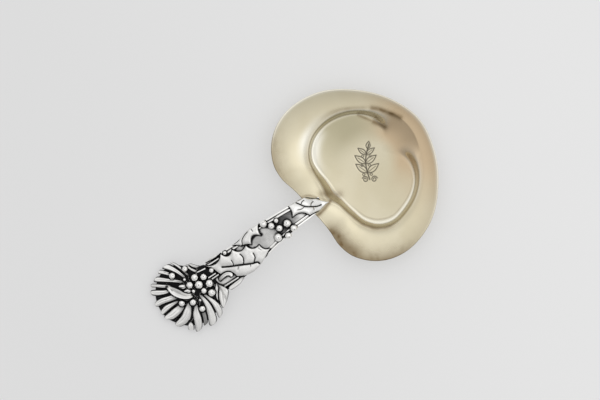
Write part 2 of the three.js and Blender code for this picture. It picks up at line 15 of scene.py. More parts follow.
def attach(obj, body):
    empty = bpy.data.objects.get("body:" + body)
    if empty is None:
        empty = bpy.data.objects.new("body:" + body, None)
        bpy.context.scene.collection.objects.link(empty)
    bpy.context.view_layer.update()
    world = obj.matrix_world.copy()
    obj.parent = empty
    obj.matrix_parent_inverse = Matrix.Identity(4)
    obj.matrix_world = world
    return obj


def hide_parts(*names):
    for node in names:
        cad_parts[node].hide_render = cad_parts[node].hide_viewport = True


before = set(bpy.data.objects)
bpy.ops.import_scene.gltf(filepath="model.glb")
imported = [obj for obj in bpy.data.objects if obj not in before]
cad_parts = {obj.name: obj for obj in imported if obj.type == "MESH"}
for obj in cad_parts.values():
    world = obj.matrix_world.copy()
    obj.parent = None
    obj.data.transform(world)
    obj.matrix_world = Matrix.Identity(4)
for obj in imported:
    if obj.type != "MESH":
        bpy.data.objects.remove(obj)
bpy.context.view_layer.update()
chance = np.random.default_rng(12)
MM = 0.001

# Bowl
BOWL_REACH = 29.97  # from the centre of the heart to the far side of a lobe
BOWL_CENTRE = 3.5
BOWL_TURN = radians(6)
SHEET = 0.9
RIM_HEIGHT = 6.4
LIP_HEIGHT = 5.6
FLANGE_SLOPE = 0.27  # rise of the flange over its width
LIP = 0.3  # rounding of the rim
DISH = 0.5  # how far the floor has risen at this reach
DISH_REACH = 16
FLANGE_DISH = 1.5
SCOOP_POWER = 2  # front wall curves up to its edge, from these degrees of the front
SCOOP_FULL = 10
SCOOP_ENDS = 42
BOWL_SIDES = 360
ENGRAVED_REACH = 6.4  # around the heart's centre, where the mesh is fine enough to engrave
ENGRAVED_DEPTH = 0.09

# Handle
HANDLE_RISE = 1.2
HANDLE_LENGTH = 43.8
STEM_THICK = 1.5
TONGUE_THICK = 0.5
TONGUE_LENGTH = 4
PANEL_DEPTH = 0.45
RAIL_WIDTH = 0.55
RAIL_GROOVE = 0.35
STEM_BEVEL = 0.7
RIM_SEAT = 0.2
SEAT = 0.06
SIDE_GAP = 0.12
TABLE_GAP = 0.02
STEM_STATIONS = 220

# Fan at the end of the handle
FAN_OFFSET = -1.2
FAN_RADIUS = 10.6
FAN_EDGE = 1
FAN_CROWN = 2.1
FAN_FLAT = 8.4
CLIMB = 2
PLATE_SIDES = 300
PLATE_RINGS = 90

# Leaves and berries
LEAF_THICK = 0.95
LOW_LEAF = 0.6 * LEAF_THICK
LEAF_SPREAD = 0.12
RIDGED_SPREAD = 0  # on narrow leaves, with wider gaps between them
CURL_THICK = 1.9
HOLLY_THICK = 1.1
HOLLY_EDGE = 0.4
SPINE_WIDTH = 0.24
BERRY_SINK = 0.6
TWIG_WIDTH = 0.62
TWIG_HEIGHT = 0.71

# The photograph's frame, for the camera
PHOTO_WIDTH = 600
PHOTO_HEIGHT = 400
PHOTO_SCALE = 0.30  # millimetres for each pixel
PHOTO_TURN = radians(35)  # handle's axis against the picture's lower edge
PHOTO_ORIGIN = (360.6, 168.9)  # pixel of the bowl's middle
CAMERA_HEIGHT = 1200

HEART_RIM = [
    (0, 0.65), (30, 0.655), (60, 0.725), (90, 0.88), (110, 0.975), (125, 1),
    (140, 0.966), (150, 0.9), (160, 0.81), (170, 0.767), (180, 0.76),
]
HEART_SHOULDER = [
    (-180, 0.6), (-166, 0.562), (-152, 0.6), (-138, 0.672), (-124, 0.722), (-112, 0.72), (-97, 0.672),
    (-80, 0.615), (-60, 0.555), (-35, 0.515), (0, 0.525), (25, 0.532), (50, 0.528), (65, 0.548),
    (88, 0.612), (108, 0.655), (122, 0.669), (136, 0.655), (148, 0.62), (160, 0.583), (170, 0.576),
    (180, 0.6),
]
HEART_FOOT = [
    (-180, 0.43), (-160, 0.458), (-147, 0.494), (-135, 0.552), (-122, 0.588), (-108, 0.59), (-95, 0.55),
    (-80, 0.512), (-62, 0.458), (-42, 0.36), (-20, 0.21), (0, 0.15), (15, 0.2), (30, 0.31), (45, 0.405),
    (62, 0.463), (85, 0.505), (105, 0.54), (122, 0.55), (138, 0.525), (150, 0.477), (163, 0.438),
    (180, 0.43),
]

# Steepness of the well's wall by degrees from the front: 2 is a soft wave, 5 nearly upright
WALL_STEEP = [
    (-180, 2.2), (-150, 2.6), (-110, 3.2), (-45, 3), (0, 2.5), (60, 2.8), (85, 3.2), (112, 5), (138, 5),
    (158, 2.8), (180, 2.2),
]


# Curves
LINE_STEPS = 6  # along a drawn line, for each of its points
TINY = 1e-6


def mix(a, b, share):
    return a + (b - a) * share


def ease(share):
    """Soft step from 0 to 1."""
    share = np.clip(share, 0, 1)
    return share * share * (3 - 2 * share)


def bell(away, width):
    """Strength that falls from 1 with the distance from a line."""
    return np.exp(-(away / width) ** 2)


def over_last(part, share):
    """Soft step over the last part of a share from 0 to 1."""
    return ease((share - 1 + part) / part)


def quarter_turn(way):
    """A way in plan, turned to its left."""
    return np.array([-way[1], way[0]])


def through(knots, at):
    """Smooth curve through knots of position and value, level at both ends."""
    x, y = np.array(knots, float).T
    slope = np.zeros_like(y)
    slope[1:-1] = (y[2:] - y[:-2]) / (x[2:] - x[:-2])
    at = np.clip(at, x[0], x[-1])
    i = np.clip(np.searchsorted(x, at) - 1, 0, len(x) - 2)
    span = x[i + 1] - x[i]
    s = (at - x[i]) / span
    value = y[i] * (1 + 2 * s) * (1 - s) ** 2 + y[i + 1] * s * s * (3 - 2 * s)
    return value + span * s * (1 - s) * (slope[i] * (1 - s) - slope[i + 1] * s)


def spline(points, at):
    """Points at shares from 0 to 1 along a smooth curve through the given ones."""
    points = np.array(points, float)
    last = len(points) - 1
    place = np.clip(at, 0, 1) * last
    i = np.minimum(place.astype(int), last - 1)
    s = (place - i)[:, None]
    before, start, end, after = (points[np.clip(i + k, 0, last)] for k in (-1, 0, 1, 2))
    from_slope = (end - before) / 2
    to_slope = (after - start) / 2
    return (
        start + from_slope * s
        + (3 * (end - start) - 2 * from_slope - to_slope) * s ** 2
        + (2 * (start - end) + from_slope + to_slope) * s ** 3
    )


def line_distance(points, line):
    """Least distance in plan from each point to a line through a list of points."""
    best = np.full(len(points), np.inf)
    for start, end in zip(line[:-1], line[1:]):
        along = end - start
        s = np.clip((points - start) @ along / (along @ along), 0, 1)
        best = np.minimum(best, norm(points - start - s[:, None] * along, axis=1))
    return best


def cuts(points, lines):
    """How deeply each plan point is cut, from 0 to 1. A line is its depth, its width and its points."""
    deepest = np.zeros(len(points))
    for depth, width, line in lines:
        smooth = spline(line, np.linspace(0, 1, LINE_STEPS * len(line)))
        deepest = np.maximum(deepest, depth * bell(line_distance(points, smooth), width))
    return deepest


# Side view and plan of the handle
def heart(knots, degrees):
    return BOWL_REACH * through(knots, degrees)


RIM_X = BOWL_CENTRE - float(heart(HEART_RIM, 180))
WELL_X = float(heart(HEART_RIM, 180) - heart(HEART_SHOULDER, 180))
FAN_X = -HANDLE_LENGTH
STEM_END = FAN_X + FAN_FLAT
CREST = RIM_HEIGHT + HANDLE_RISE
RIM_TOP = RIM_HEIGHT + RIM_SEAT
WELL_DROP = FLANGE_SLOPE * WELL_X


def stem_at(share):
    return mix(STEM_END, 0, share)


SWEEP = [
    (FAN_X - 1.23 * FAN_RADIUS, TABLE_GAP), (FAN_X - 0.47 * FAN_RADIUS, 0.04 * CREST),
    (STEM_END - 0.23 * FAN_RADIUS, 0.29 * CREST), (stem_at(0.24), 0.66 * CREST),
    (stem_at(0.52), 0.92 * CREST), (stem_at(0.78), CREST), (0, RIM_TOP),
    (WELL_X / 2, RIM_TOP - WELL_DROP * (1 - 0.5 ** FLANGE_DISH)), (WELL_X, RIM_TOP - WELL_DROP),
    (2 * WELL_X, RIM_TOP - 1.5 * WELL_DROP),
]
STEM_LEFT = [
    (STEM_END, 3.7), (stem_at(0.21), 3.5), (stem_at(0.33), 3.4), (stem_at(0.47), 4.1),
    (stem_at(0.7), 3.75), (stem_at(0.86), 3.3), (0.6, 2.6), (TONGUE_LENGTH, 0.4),
]
STEM_RIGHT = [
    (STEM_END, -6.6), (stem_at(0.1), -7.1), (stem_at(0.17), -6.8), (stem_at(0.3), -6.2),
    (stem_at(0.47), -5.3), (stem_at(0.61), -4.5), (stem_at(0.81), -3.6), (0.2, -3.3),
    (TONGUE_LENGTH, -2.5),
]
STEM_TOP = [
    (STEM_END, STEM_THICK), (stem_at(0.86), STEM_THICK), (0.2, 0.75 * STEM_THICK),
    (TONGUE_LENGTH, TONGUE_THICK), (2 * TONGUE_LENGTH, 0.5 * TONGUE_THICK),
]
PLATE_REACH = [
    (-180, 0.985), (-165, 0.97), (-150, 0.94), (-120, 0.93), (-60, 0.91), (-30, 0.95), (10, 0.85),
    (28, 0.89), (38, 0.8), (68, 0.79), (86, 0.92), (100, 0.99), (150, 0.995), (180, 0.985),
]


def sweep(x):
    return through(SWEEP, x)


def dome(x, y):
    """Height of the fan's plate over the sweep of the handle."""
    share = np.hypot(x - FAN_X, y - FAN_OFFSET) / FAN_RADIUS
    return FAN_EDGE + (FAN_CROWN - FAN_EDGE) * (1 - share ** 2)


def fan_seat(x, y):
    """Top of the plate, which climbs to the stem's top beside it."""
    climbed = ease((x - STEM_END) / CLIMB + 1)
    return sweep(x) + np.maximum(dome(x, y), climbed * STEM_THICK) + SEAT


def rail_seat(x, y):
    return sweep(x) + through(STEM_TOP, x) + SEAT


def panel_seat(x, y):
    return sweep(x) + STEM_THICK - PANEL_DEPTH + SEAT


def bare_seat(x, y):
    return sweep(x)


SEATS = {"fan": fan_seat, "neck": rail_seat, "rail": rail_seat, "panel": panel_seat, "bare": bare_seat}
ORIGINS = {"fan": (FAN_X, FAN_OFFSET), "neck": (STEM_END, 0), "rail": (0, 0), "panel": (0, 0)}


def plan(points, seat):
    """Drawn points in the handle's plan."""
    return np.array([point[:2] for point in points], float) + ORIGINS[seat]


def laid(points, seat):
    """Points of a piece drawn on level ground, set down on its seat."""
    points = np.array(points, float)
    points[..., 2] += SEATS[seat](points[..., 0], points[..., 1])
    points[..., 0] += RIM_X
    return points


# Drawings of the pieces on the handle, from the fan's centre, the stem's end at the fan, or the rim.
# A berry is its seat, place and radius. A leaf is its two edges, and a holly's spine has its bite's depth.
FAN_BERRIES = [
    ("fan", -1.5, 7.3, 1.05), ("fan", 2.8, 6.8, 0.9), ("fan", 0.9, 4.3, 0.5),
    ("fan", 1.25, 2.05, 1.1), ("fan", 3.75, 3.05, 1.15), ("fan", 3.6, 0.55, 1.28),
    ("fan", 6.05, 1.65, 1.05), ("neck", 0.7, 0.75, 0.75), ("fan", 6.4, -0.9, 1.2),
    ("fan", 3.8, -1.75, 0.95), ("fan", 5.4, -3.55, 1.15), ("fan", -3.8, -1.05, 1),
    ("fan", -0.9, -2.7, 1.05), ("fan", 0.3, -5.9, 0.95), ("fan", 1.25, -3.4, 0.5),
    ("fan", 1.1, -0.1, 0.65),
]
STEM_BERRIES = [
    ("rail", -14, 3.2, 1.1), ("rail", -12.4, 1.35, 1), ("rail", -10.3, 1.8, 0.7),
    ("panel", -10.8, -0.6, 1.05), ("panel", -8.1, -0.75, 1.2), ("rail", -12.7, -2.6, 1.22),
    ("rail", -9.9, -4, 1.1), ("rail", -7.3, -3.1, 1.1), ("neck", 7, 2.7, 0.6),
]

HOLLY = [
    ("large_holly_leaf", "neck", [
        [[0.1, 2.8, 1.4], [5.8, 3.2, 1.4], [9.4, 2.3, 1.3], [13.5, 1.1, 1.1], [16.8, -1.2, 0.6],
         [18.7, -3.9]],
        [[0.1, 2.8, 0.2], [2.3, -1.8, 1.2], [6, -5, -0.4], [10.6, -6.8, -0.2], [15.1, -5.8, 0],
         [18.7, -3.9]],
    ]),
    ("side_holly_leaf", "neck", [
        [[10.4, 3.3, 0.1], [12.6, 3.3, -0.1], [14.6, 4.1, -0.1], [17.6, 4.4, 0.15], [20.4, 4.3]],
        [[10.4, 3.3, 0.1], [12.2, 1.6, 0.3], [15, 0.2, 1.7], [18.85, 0.75, 0.5], [20.4, 4.3]],
    ]),
    ("tip_holly_leaf", "rail", [
        [[-4.8, 3.4, 0.1], [-2.3, 3.15, 0.1], [0.5, 2.75, 0.2], [3.2, 0.45, 0.1], [5.8, -2.65]],
        [[-4.8, 3.4, 0.4], [-5.75, -0.15, 1.1], [-1.15, -2.6, 0.1], [2.3, -3.2, 0.1], [5.8, -2.65]],
    ]),
    ("edge_holly_leaf", "neck", [
        [[0.7, 3.7, 0.1], [2.3, 4.2, 0.2], [4, 4.1, 0.2], [5.7, 3.5]],
        [[0.7, 3.7, 0], [2.6, 3.3, 0], [4.1, 3.2, 0], [5.7, 3.5]],
    ]),
]

CURLED_LEAF = [
    [[0.1, -0.3], [-0.8, 0.3], [-1.6, 1.3], [-2.2, 2.6], [-3.3, 4.3], [-4.3, 5.8]],
    [[0.1, -1.3], [-1.3, -1.1], [-2.8, -0.1], [-4.1, 1.5], [-4.8, 3.2], [-5, 5.6]],
]

FAN_LEAVES = [
    ([[5.6, 5], [4.7, 6.3], [4.3, 7.4]],
     [[7.1, 5.1], [6.2, 5.9], [5, 7.5]]),
    ([[4.6, 4.2], [3.8, 5.8], [3.5, 7.5]],
     [[5.7, 4.4], [4.6, 6.1], [4.1, 7.9]]),
    ([[2.1, 4.9], [1.7, 7.1], [0.9, 9.3], [0.1, 10.9]],
     [[2.9, 4.9], [2.4, 7.2], [1.8, 9.2], [0.9, 10.8]]),
    ([[0.8, 4.9], [-0.1, 7.2], [-1.5, 9.3], [-3.2, 11.1]],
     [[1.8, 4.8], [1.3, 7.1], [0.6, 9.2], [-0.3, 11.1]]),
    ([[-1.6, 6.8], [-3.1, 8.7], [-4.8, 10.3]],
     [[-0.9, 7.5], [-2, 9.4], [-3.6, 11.1]]),
    ([[-0.4, 3.7], [-2.3, 5.2], [-4.5, 6.9], [-7.6, 9.1]],
     [[0.3, 4.4], [-1.4, 6.1], [-3.2, 7.8], [-5.5, 10.1]]),
    ([[-4.2, 4.7], [-6.1, 6], [-7.4, 7.1], [-8.8, 8.2]],
     [[-3.3, 5.4], [-5.3, 6.9], [-6.7, 8], [-8.2, 9.1]]),
    ([[-4.4, 3.3], [-7, 4.1], [-8.7, 4.9], [-10.1, 6.2]],
     [[-4.2, 4.3], [-6.3, 5.6], [-7.8, 6.7], [-9.5, 7.6]]),
    ([[-3.6, 0.5], [-6.6, 1.4], [-8.8, 2], [-11, 2.5]],
     [[-4.2, 2.5], [-6.3, 3.1], [-8.3, 3.7], [-10.6, 3.7]]),
    ([[-4.3, -0.2], [-7.2, -0.3], [-9.1, -0.5], [-10.8, -0.7]],
     [[-4.2, 0.2], [-6.9, 0.9], [-8.8, 1.1], [-10.6, 0.5]]),
    ([[-3.8, -2.6], [-6.1, -3.3], [-8.2, -3.5], [-10.3, -2.7]],
     [[-4, -0.9], [-6.9, -1], [-8.8, -1.2], [-10.9, -1.4]]),
    ([[-2.1, -3.8], [-3.7, -5.7], [-5.6, -6.7], [-8.8, -6.5]],
     [[-1.8, -1.7], [-4.1, -2.9], [-6.3, -4.2], [-9.3, -4.8]]),
    ([[-4.7, -7.2], [-4.8, -8.6], [-5.5, -9.7]],
     [[-5.3, -7.1], [-6.2, -7.7], [-6.8, -8.9]]),
    ([[-0.2, -3.8], [-1.1, -6.2], [-1.8, -8.5], [-3.3, -10.8]],
     [[-1.2, -3.9], [-3, -5.8], [-4.3, -8.5], [-5.4, -10.8]]),
    ([[0.6, -6.8], [0.1, -8.7], [-0.9, -10.4]],
     [[-0.7, -6.8], [-1.5, -8.7], [-2.4, -10.5]]),
    ([[2.3, -1.9], [3, -5.4], [2.7, -8.6], [1.8, -11.7]],
     [[1.8, -2], [1.6, -5.1], [0.6, -8.1], [-1.2, -11.8]]),
    ([[3.4, -2.4], [4.9, -6.2], [5, -9], [4, -10.9]],
     [[2.9, -2.5], [3.5, -6], [3.2, -9], [2.7, -11.2]]),
    ([[8.3, -2.5], [9.8, -5.4], [8.8, -7.1], [6.5, -9]],
     [[8.1, -3.7], [7, -4.9], [6.1, -6.4], [5.2, -9.5]]),
    ([[8.2, -3.4], [6.7, -5], [5.6, -7.1]],
     [[8.2, -1.8], [7, -2.9], [5.6, -5.4]]),
]

SMALL_LEAVES = [
    ("stem_leaf", "neck", [
        [[7.6, -6.1], [5.1, -6.2], [1.8, -6.4]],
        [[7.6, -6.6], [5.1, -7.4], [2, -7.4]],
    ], LOW_LEAF),
    ("hooked_leaf", "neck", [
        [[0.9, -2.6], [2.4, -2.1], [4, -2.2], [5.2, -2.9], [5.4, -4.2]],
        [[0.9, -3.4], [2.4, -3.2], [3.6, -3.2], [4.2, -3.6], [4.3, -4.3]],
    ]),
    ("leaflet_1", "fan", [
        [[-0.1, 2.1], [-1.1, 2.2], [-1.9, 3.3]],
        [[0.1, 3], [-0.8, 3.6], [-1.7, 3.8]],
    ]),
    ("leaflet_2", "fan", [
        [[0.6, 0.2], [-0.4, 0.2], [-1.5, 1]],
        [[0.6, 1], [-0.2, 1.6], [-1.3, 1.7]],
    ]),
]

TWIGS = [
    ("fan", [5, 3.95], [8.1, 3.4]),
    ("fan", [6.8, 0.6], [9.8, 0.5]),
    ("fan", [7.4, -0.3], [10.3, -0.3]),
    ("neck", [0.8, -5.4], [6.4, -5.6]),
]

# Lines cut into the holly leaves: depth and width in millimetres, then the points
VEINS = {
    "large_holly_leaf": [
        (0.36, 0.23, [(3.9, -0.3), (5.6, -1.3), (8.6, -2.8), (11.6, -4.4), (13.4, -5.1), (13.7, -5.8)]),
        (0.22, 0.15, [(7, -1.9), (7.3, -1), (7.3, -0.2)]),
        (0.26, 0.16, [(9.8, -3.1), (10.6, -1.9), (10.7, -0.9), (10.5, -0.2)]),
        (0.26, 0.16, [(12.5, -4.6), (13.7, -3.5), (13.9, -2.2)]),
        (0.12, 0.12, [(16.4, -2.8), (16, -1.8)]),
        (0.16, 0.12, [(8.3, -2.8), (7.4, -3.5)]),
        (0.16, 0.12, [(11.5, -4.4), (10.9, -5.1)]),
    ],
    "side_holly_leaf": [
        (0.22, 0.13, [(11.3, 1.9), (12.6, 1.6), (13.3, 2.8), (14.6, 3.6), (16.1, 4)]),
        (0.16, 0.12, [(17.5, 3.2), (17.5, 4.1)]),
    ],
    "tip_holly_leaf": [
        (0.3, 0.16, [(-2.4, 2.8), (-1.8, 1.8), (-0.8, 0.3), (0.7, -0.8), (2.2, -1.7), (3.4, -2)]),
        (0.2, 0.12, [(-1.5, 1.5), (-0.8, 2), (0, 2.1)]),
        (0.2, 0.12, [(0.6, -0.7), (1.2, 0), (2, 0.2)]),
        (0.16, 0.12, [(-1, 0.4), (-2.2, 0.3), (-3.2, 0.7)]),
        (0.16, 0.12, [(1.2, -1.2), (0.8, -2.1)]),
    ],
}


# Solids
UNDERSIDE = 3  # points across the level underside of a piece in relief
END_POWER = 2.4  # roundness of a leaf's ends
END_LEAST = 0.006


def loft(rings):
    """Points and outward faces of a closed solid over rings of equal length."""
    rings = np.asarray(rings, float)
    count, sides = rings.shape[:2]
    grid = np.arange(count * sides).reshape(count, sides)
    ahead = np.roll(grid, -1, axis=1)
    quads = np.stack([grid[:-1], ahead[:-1], ahead[1:], grid[1:]], axis=-1).reshape(-1, 4).tolist()
    hub = count * sides
    caps = [[hub, b, a] for a, b in zip(grid[0], ahead[0])]
    caps += [[hub + 1, a, b] for a, b in zip(grid[-1], ahead[-1])]
    points = np.vstack([rings.reshape(-1, 3), rings[0].mean(0), rings[-1].mean(0)])
    triangles = caps + [[a, b, c] for a, b, c, _ in quads] + [[a, c, d] for a, _, c, d in quads]
    corners = points[np.array(triangles)] - points.mean(0)
    volume = np.einsum("ij,ij->", corners[:, 0], np.cross(corners[:, 1], corners[:, 2]))
    faces = quads + caps
    if volume < 0:
        faces = [face[::-1] for face in faces]
    return points, faces


def shares_across(count):
    """Shares from 0 to 1, closer together towards both ends."""
    return (1 - np.cos(np.linspace(0, pi, count))) / 2


def pillow(across, power):
    """Height across a leaf, from 0 at its edges to 1. A higher power has a flatter top."""
    return np.maximum(1 - np.abs(2 * across - 1) ** power, 0) ** (1 / power)


def between(left, right, shares):
    """Points at each share of the way from one edge to the other, station by station."""
    return left[:, None] + (right - left)[:, None] * shares[None, :, None]


def strip(left, right, rise, seat):
    """Solid between two edges, under a top whose height is given for each station and place across."""
    top = between(left, right, shares_across(rise.shape[1]))
    foot = between(left, right, np.linspace(1, 0, UNDERSIDE + 2)[1:-1])
    ring = np.concatenate([
        np.dstack([top, rise]),
        np.dstack([foot, np.zeros(foot.shape[:2])]),
    ], axis=1)
    return loft(laid(ring, seat))


def on_top(points, values):
    """Values for a strip's corners, from those of its top. Its ends are as dark as their darkest corner."""
    rows, columns = values.shape
    ring = (len(points) - 2) // rows
    spread = np.zeros((rows, ring))
    spread[:, :columns] = values
    ends = values[[0, -1]].max(axis=1)
    spread[[0, -1], columns:] = ends[:, None]
    return np.append(spread.reshape(-1), ends)


def drawn_in(u, base, tip):
    """Share of a leaf's width at each station, with a round base and a round tip."""
    into_tip = np.clip((u - tip) / (1 - tip), 0, 1)
    into_base = np.clip((base - u) / base, 0, 1)
    return np.sqrt(np.maximum((1 - into_tip ** END_POWER) * (1 - into_base ** END_POWER), END_LEAST))


# Mistletoe leaves. Places, widths and fades are shares of a leaf's length or width.
LEAF_STATIONS = 48
LEAF_COLUMNS = 41
LEAF_ENDS = (0.07, 0.84)  # where its round base ends and its round tip starts
LEAF_ARCH = (0.12, 0.98)  # part of a half wave that its height follows
LEAF_LOW = 0.7
LEAF_ROUND = 2.3
# Its crease, streaks and hollow are darkened with painted shade
CREASE_WIDTH = 0.1
CREASE_DEPTH = 0.16
CREASE_DARK = 0.38
STREAK_FADE = 0.12
STREAK_DEPTH = 0.07
STREAK_DARK = 0.44
CUP_ROUND = 5
CUP_POWER = 1.6
CUP_DEPTH = 0.5
CUP_DARK = 0.42

# Painted shade at a leaf's base, on one side of its fold, and, with oxide, from these shares of its half
# width to its edges
BASE_FADE = 0.5
BASE_DARK = 0.6
HALF_FADE = 0.3
HALF_THINS = 0.6
HALF_DARK = 0.42
EDGE_DARK = 0.92
EDGE_STARTS = 0.72
# Narrow leaves are darkened with painted shade from this share, so that only a ridge stays bright
RIDGE_STARTS = 0.2  # on narrow leaves that stay bright only along a ridge
# Oxide and painted shade reach further in towards the tip, and over the ends
TIP_STARTS = 0.5
TIP_FADE = 0.3
END_FADE = 0.06
END_DARK = 0.6

# Leaves of the fan that differ, by their numbers
RIDGED = (1, 2, 3, 4, 5, 6, 7, 8, 15, 19)
LOW = (15, 19)
# Painted shade over the whole of these leaves, which lie in shade
SHADED_LEAVES = {12: 0.24, 14: 0.3, 15: 0.62, 16: 0.3, 17: 0.28}


def streaks(u, v):
    """Shallow lines that run along a leaf, each from 0 to 1 where it is deepest."""
    deepest = np.zeros((len(u), v.shape[1]))
    for _ in range(3):
        place = chance.uniform(0.12, 0.88)
        slant = chance.uniform(-0.12, 0.12)
        start = chance.uniform(0, 0.45)
        end = start + chance.uniform(0.35, 0.6)
        width = chance.uniform(0.025, 0.05)
        strength = chance.uniform(0.5, 1)
        run = ease((u - start) / STREAK_FADE) * ease((end - u) / STREAK_FADE)
        line = bell(v - place - slant * u[:, None], width) * run[:, None]
        deepest = np.maximum(deepest, strength * line)
    return deepest


def cupped_top(height, v, run):
    """Height of a leaf with a hollow along it, and painted shade in the hollow."""
    hollow = 1 - np.abs(2 * v - 1) ** CUP_POWER
    rise = height * pillow(v, CUP_ROUND) * (1 - CUP_DEPTH * hollow)
    return rise, CUP_DARK * hollow * run


def creased_top(height, u, v, run):
    """Height and painted shade of a leaf with a crease and streaks, that leans to one side."""
    lean = chance.uniform(-0.35, 0.35)
    fold = chance.uniform(0.3, 0.7)
    crease = bell(v - fold, CREASE_WIDTH) * run
    lines = streaks(u, v)
    lines_left = 1 - CREASE_DEPTH * crease - STREAK_DEPTH * lines
    rise = height * pillow(v, LEAF_ROUND) * (1 + lean * (2 * v - 1)) * lines_left
    base = over_last(BASE_FADE, 1 - u)[:, None]
    half = ease((fold - v) / HALF_FADE) * (1 - HALF_THINS * u)[:, None]
    dark = [CREASE_DARK * crease, STREAK_DARK * lines, BASE_DARK * base + 0 * v, HALF_DARK * half]
    return rise, np.maximum.reduce(dark)


def mistletoe(seat, drawn, thick=LEAF_THICK, cupped=False, edge=EDGE_STARTS, spread=LEAF_SPREAD, painted_shade=0):
    """Leaf between two drawn edges, bright along its middle and dark with oxide and painted shade down its
    sides.
    """
    u = np.sin(np.linspace(0, pi / 2, LEAF_STATIONS))
    left, right = (spline(plan(side, seat), u) for side in drawn)
    width = norm(right - left, axis=1)
    inset = 0.5 - (0.5 + spread / width) * drawn_in(u, *LEAF_ENDS)
    edge_a = left + (right - left) * inset[:, None]
    edge_b = right + (left - right) * inset[:, None]
    v = shares_across(LEAF_COLUMNS)[None, :]
    height = thick * mix(LEAF_LOW, 1, np.sin(pi * mix(*LEAF_ARCH, u)))[:, None]
    run = np.sin(pi * u)[:, None] ** 0.5
    rise, dark = cupped_top(height, v, run) if cupped else creased_top(height, u, v, run)
    points, faces = strip(edge_a, edge_b, np.minimum(rise, thick), seat)
    # Oxide and painted shade down the sides, further in towards the tip, and over the ends
    starts = mix(edge, min(edge, TIP_STARTS), over_last(TIP_FADE, u))[:, None]
    sides = over_last(1 - starts, np.abs(2 * v - 1))
    end = over_last(END_FADE, u)[:, None]
    rim = EDGE_DARK * np.maximum(sides, END_DARK * end)
    return points, faces, on_top(points, np.maximum(np.maximum(dark, painted_shade), rim))


def spiny_edge(spines, seat, inward, u):
    """Points along a holly leaf's edge: round bites from spine to spine."""
    bites = len(spines) - 1
    at = plan(spines, seat)
    depth = np.array([spine[2] for spine in spines[:-1]])
    i = np.minimum((u * bites).astype(int), bites - 1)
    s = (u * bites - i)[:, None]
    along = at[i + 1] - at[i]
    along /= norm(along, axis=1)[:, None]
    aside = inward * np.stack([along[:, 1], -along[:, 0]], axis=1)
    return mix(at[i], at[i + 1], s) + aside * (4 * s * (1 - s)) * depth[i][:, None]


# Holly leaves
BITE_STATIONS = 26
HOLLY_COLUMNS = 61
HOLLY_ARCH = (0.08, 0.95)
HOLLY_ROUND = 4
HOLLY_FLANK = 0.86  # height towards its edges, against its middle
HOLLY_LEAST = 0.25  # share of its height that lines leave
# Even grey over the whole leaf
HOLLY_GREY = 0.27
# Oxide and painted shade along the leaf's steep edges
HOLLY_RIM_FADE = 0.05
HOLLY_RIM_DARK = 0.6
VEIN_CLEAN = 0.03  # depth from which a vein has oxide
VEIN_FADE = 0.12
VALLEY_DEPTH = 0.7  # quilting about a vein, against the vein's own depth and width
VALLEY_WIDTH = 4.5
# Oxide and painted shade in the quilted dips beside the veins
VALLEY_DARK = 0.55


def holly(seat, drawn, veins):
    """Spiny leaf between two drawn edges, with veins cut into it."""
    bites = len(drawn[0]) - 1
    u = np.linspace(0, 1, BITE_STATIONS * bites + 1)
    left = spiny_edge(drawn[0], seat, 1, u)
    right = spiny_edge(drawn[1], seat, -1, u)
    apart = right - left
    width = norm(apart, axis=1)
    short = np.maximum(SPINE_WIDTH - width, 0)[:, None] / 2
    across = np.where(width[:, None] > TINY, apart / np.maximum(width, TINY)[:, None], (0, -1))
    left = left - across * short
    right = right + across * short
    v = shares_across(HOLLY_COLUMNS)[None, :]
    crown = mix(HOLLY_EDGE, HOLLY_THICK, np.sin(pi * mix(*HOLLY_ARCH, u)))[:, None]
    rise = crown * pillow(v, HOLLY_ROUND) * mix(HOLLY_FLANK, 1, np.cos(pi * (v - 0.5)))
    place = between(left, right, v[0]).reshape(-1, 2)
    lines = [(depth, wide, plan(line, seat)) for depth, wide, line in veins]
    valleys = [(VALLEY_DEPTH * depth, VALLEY_WIDTH * wide, line) for depth, wide, line in lines]
    cut = cuts(place, lines).reshape(rise.shape)
    dip = cuts(place, valleys).reshape(rise.shape)
    points, faces = strip(left, right, np.maximum(rise - cut - dip, HOLLY_LEAST * rise), seat)
    sides = HOLLY_RIM_DARK * over_last(HOLLY_RIM_FADE, np.abs(2 * v - 1))
    # Oxide in the veins; oxide and painted shade in the dips and along the edges
    dark = np.maximum(np.clip((cut - VEIN_CLEAN) / VEIN_FADE, 0, 1), VALLEY_DARK * dip / HOLLY_EDGE)
    return points, faces, on_top(points, np.maximum(np.maximum(dark, HOLLY_GREY), sides))


# Twigs and berries
TWIG_STATIONS = 20
TWIG_COLUMNS = 15
TWIG_ENDS = (0.1, 0.86)
TWIG_ROUND = 2.2
BERRY_RINGS = 34
BERRY_SIDES = 40
BERRY_SPAN = (-1.2, 1.5)  # radians from its middle, down to its seat and up to its top
EYE_WIDTH = 0.2
EYE_DEPTH = 0.13
EYE_DARK = 0.8


def twig(seat, start, end):
    """Round stalk between two points."""
    u = np.sin(np.linspace(0, pi / 2, TWIG_STATIONS))
    start, end = plan([start, end], seat)
    along = (end - start) / norm(end - start)
    aside = quarter_turn(along) * TWIG_WIDTH / 2
    middle = mix(start, end, u[:, None])
    taper = drawn_in(u, *TWIG_ENDS)[:, None]
    half = taper * aside
    rise = TWIG_HEIGHT * pillow(shares_across(TWIG_COLUMNS)[None, :], TWIG_ROUND) * taper
    return strip(middle + half, middle - half, rise, seat)


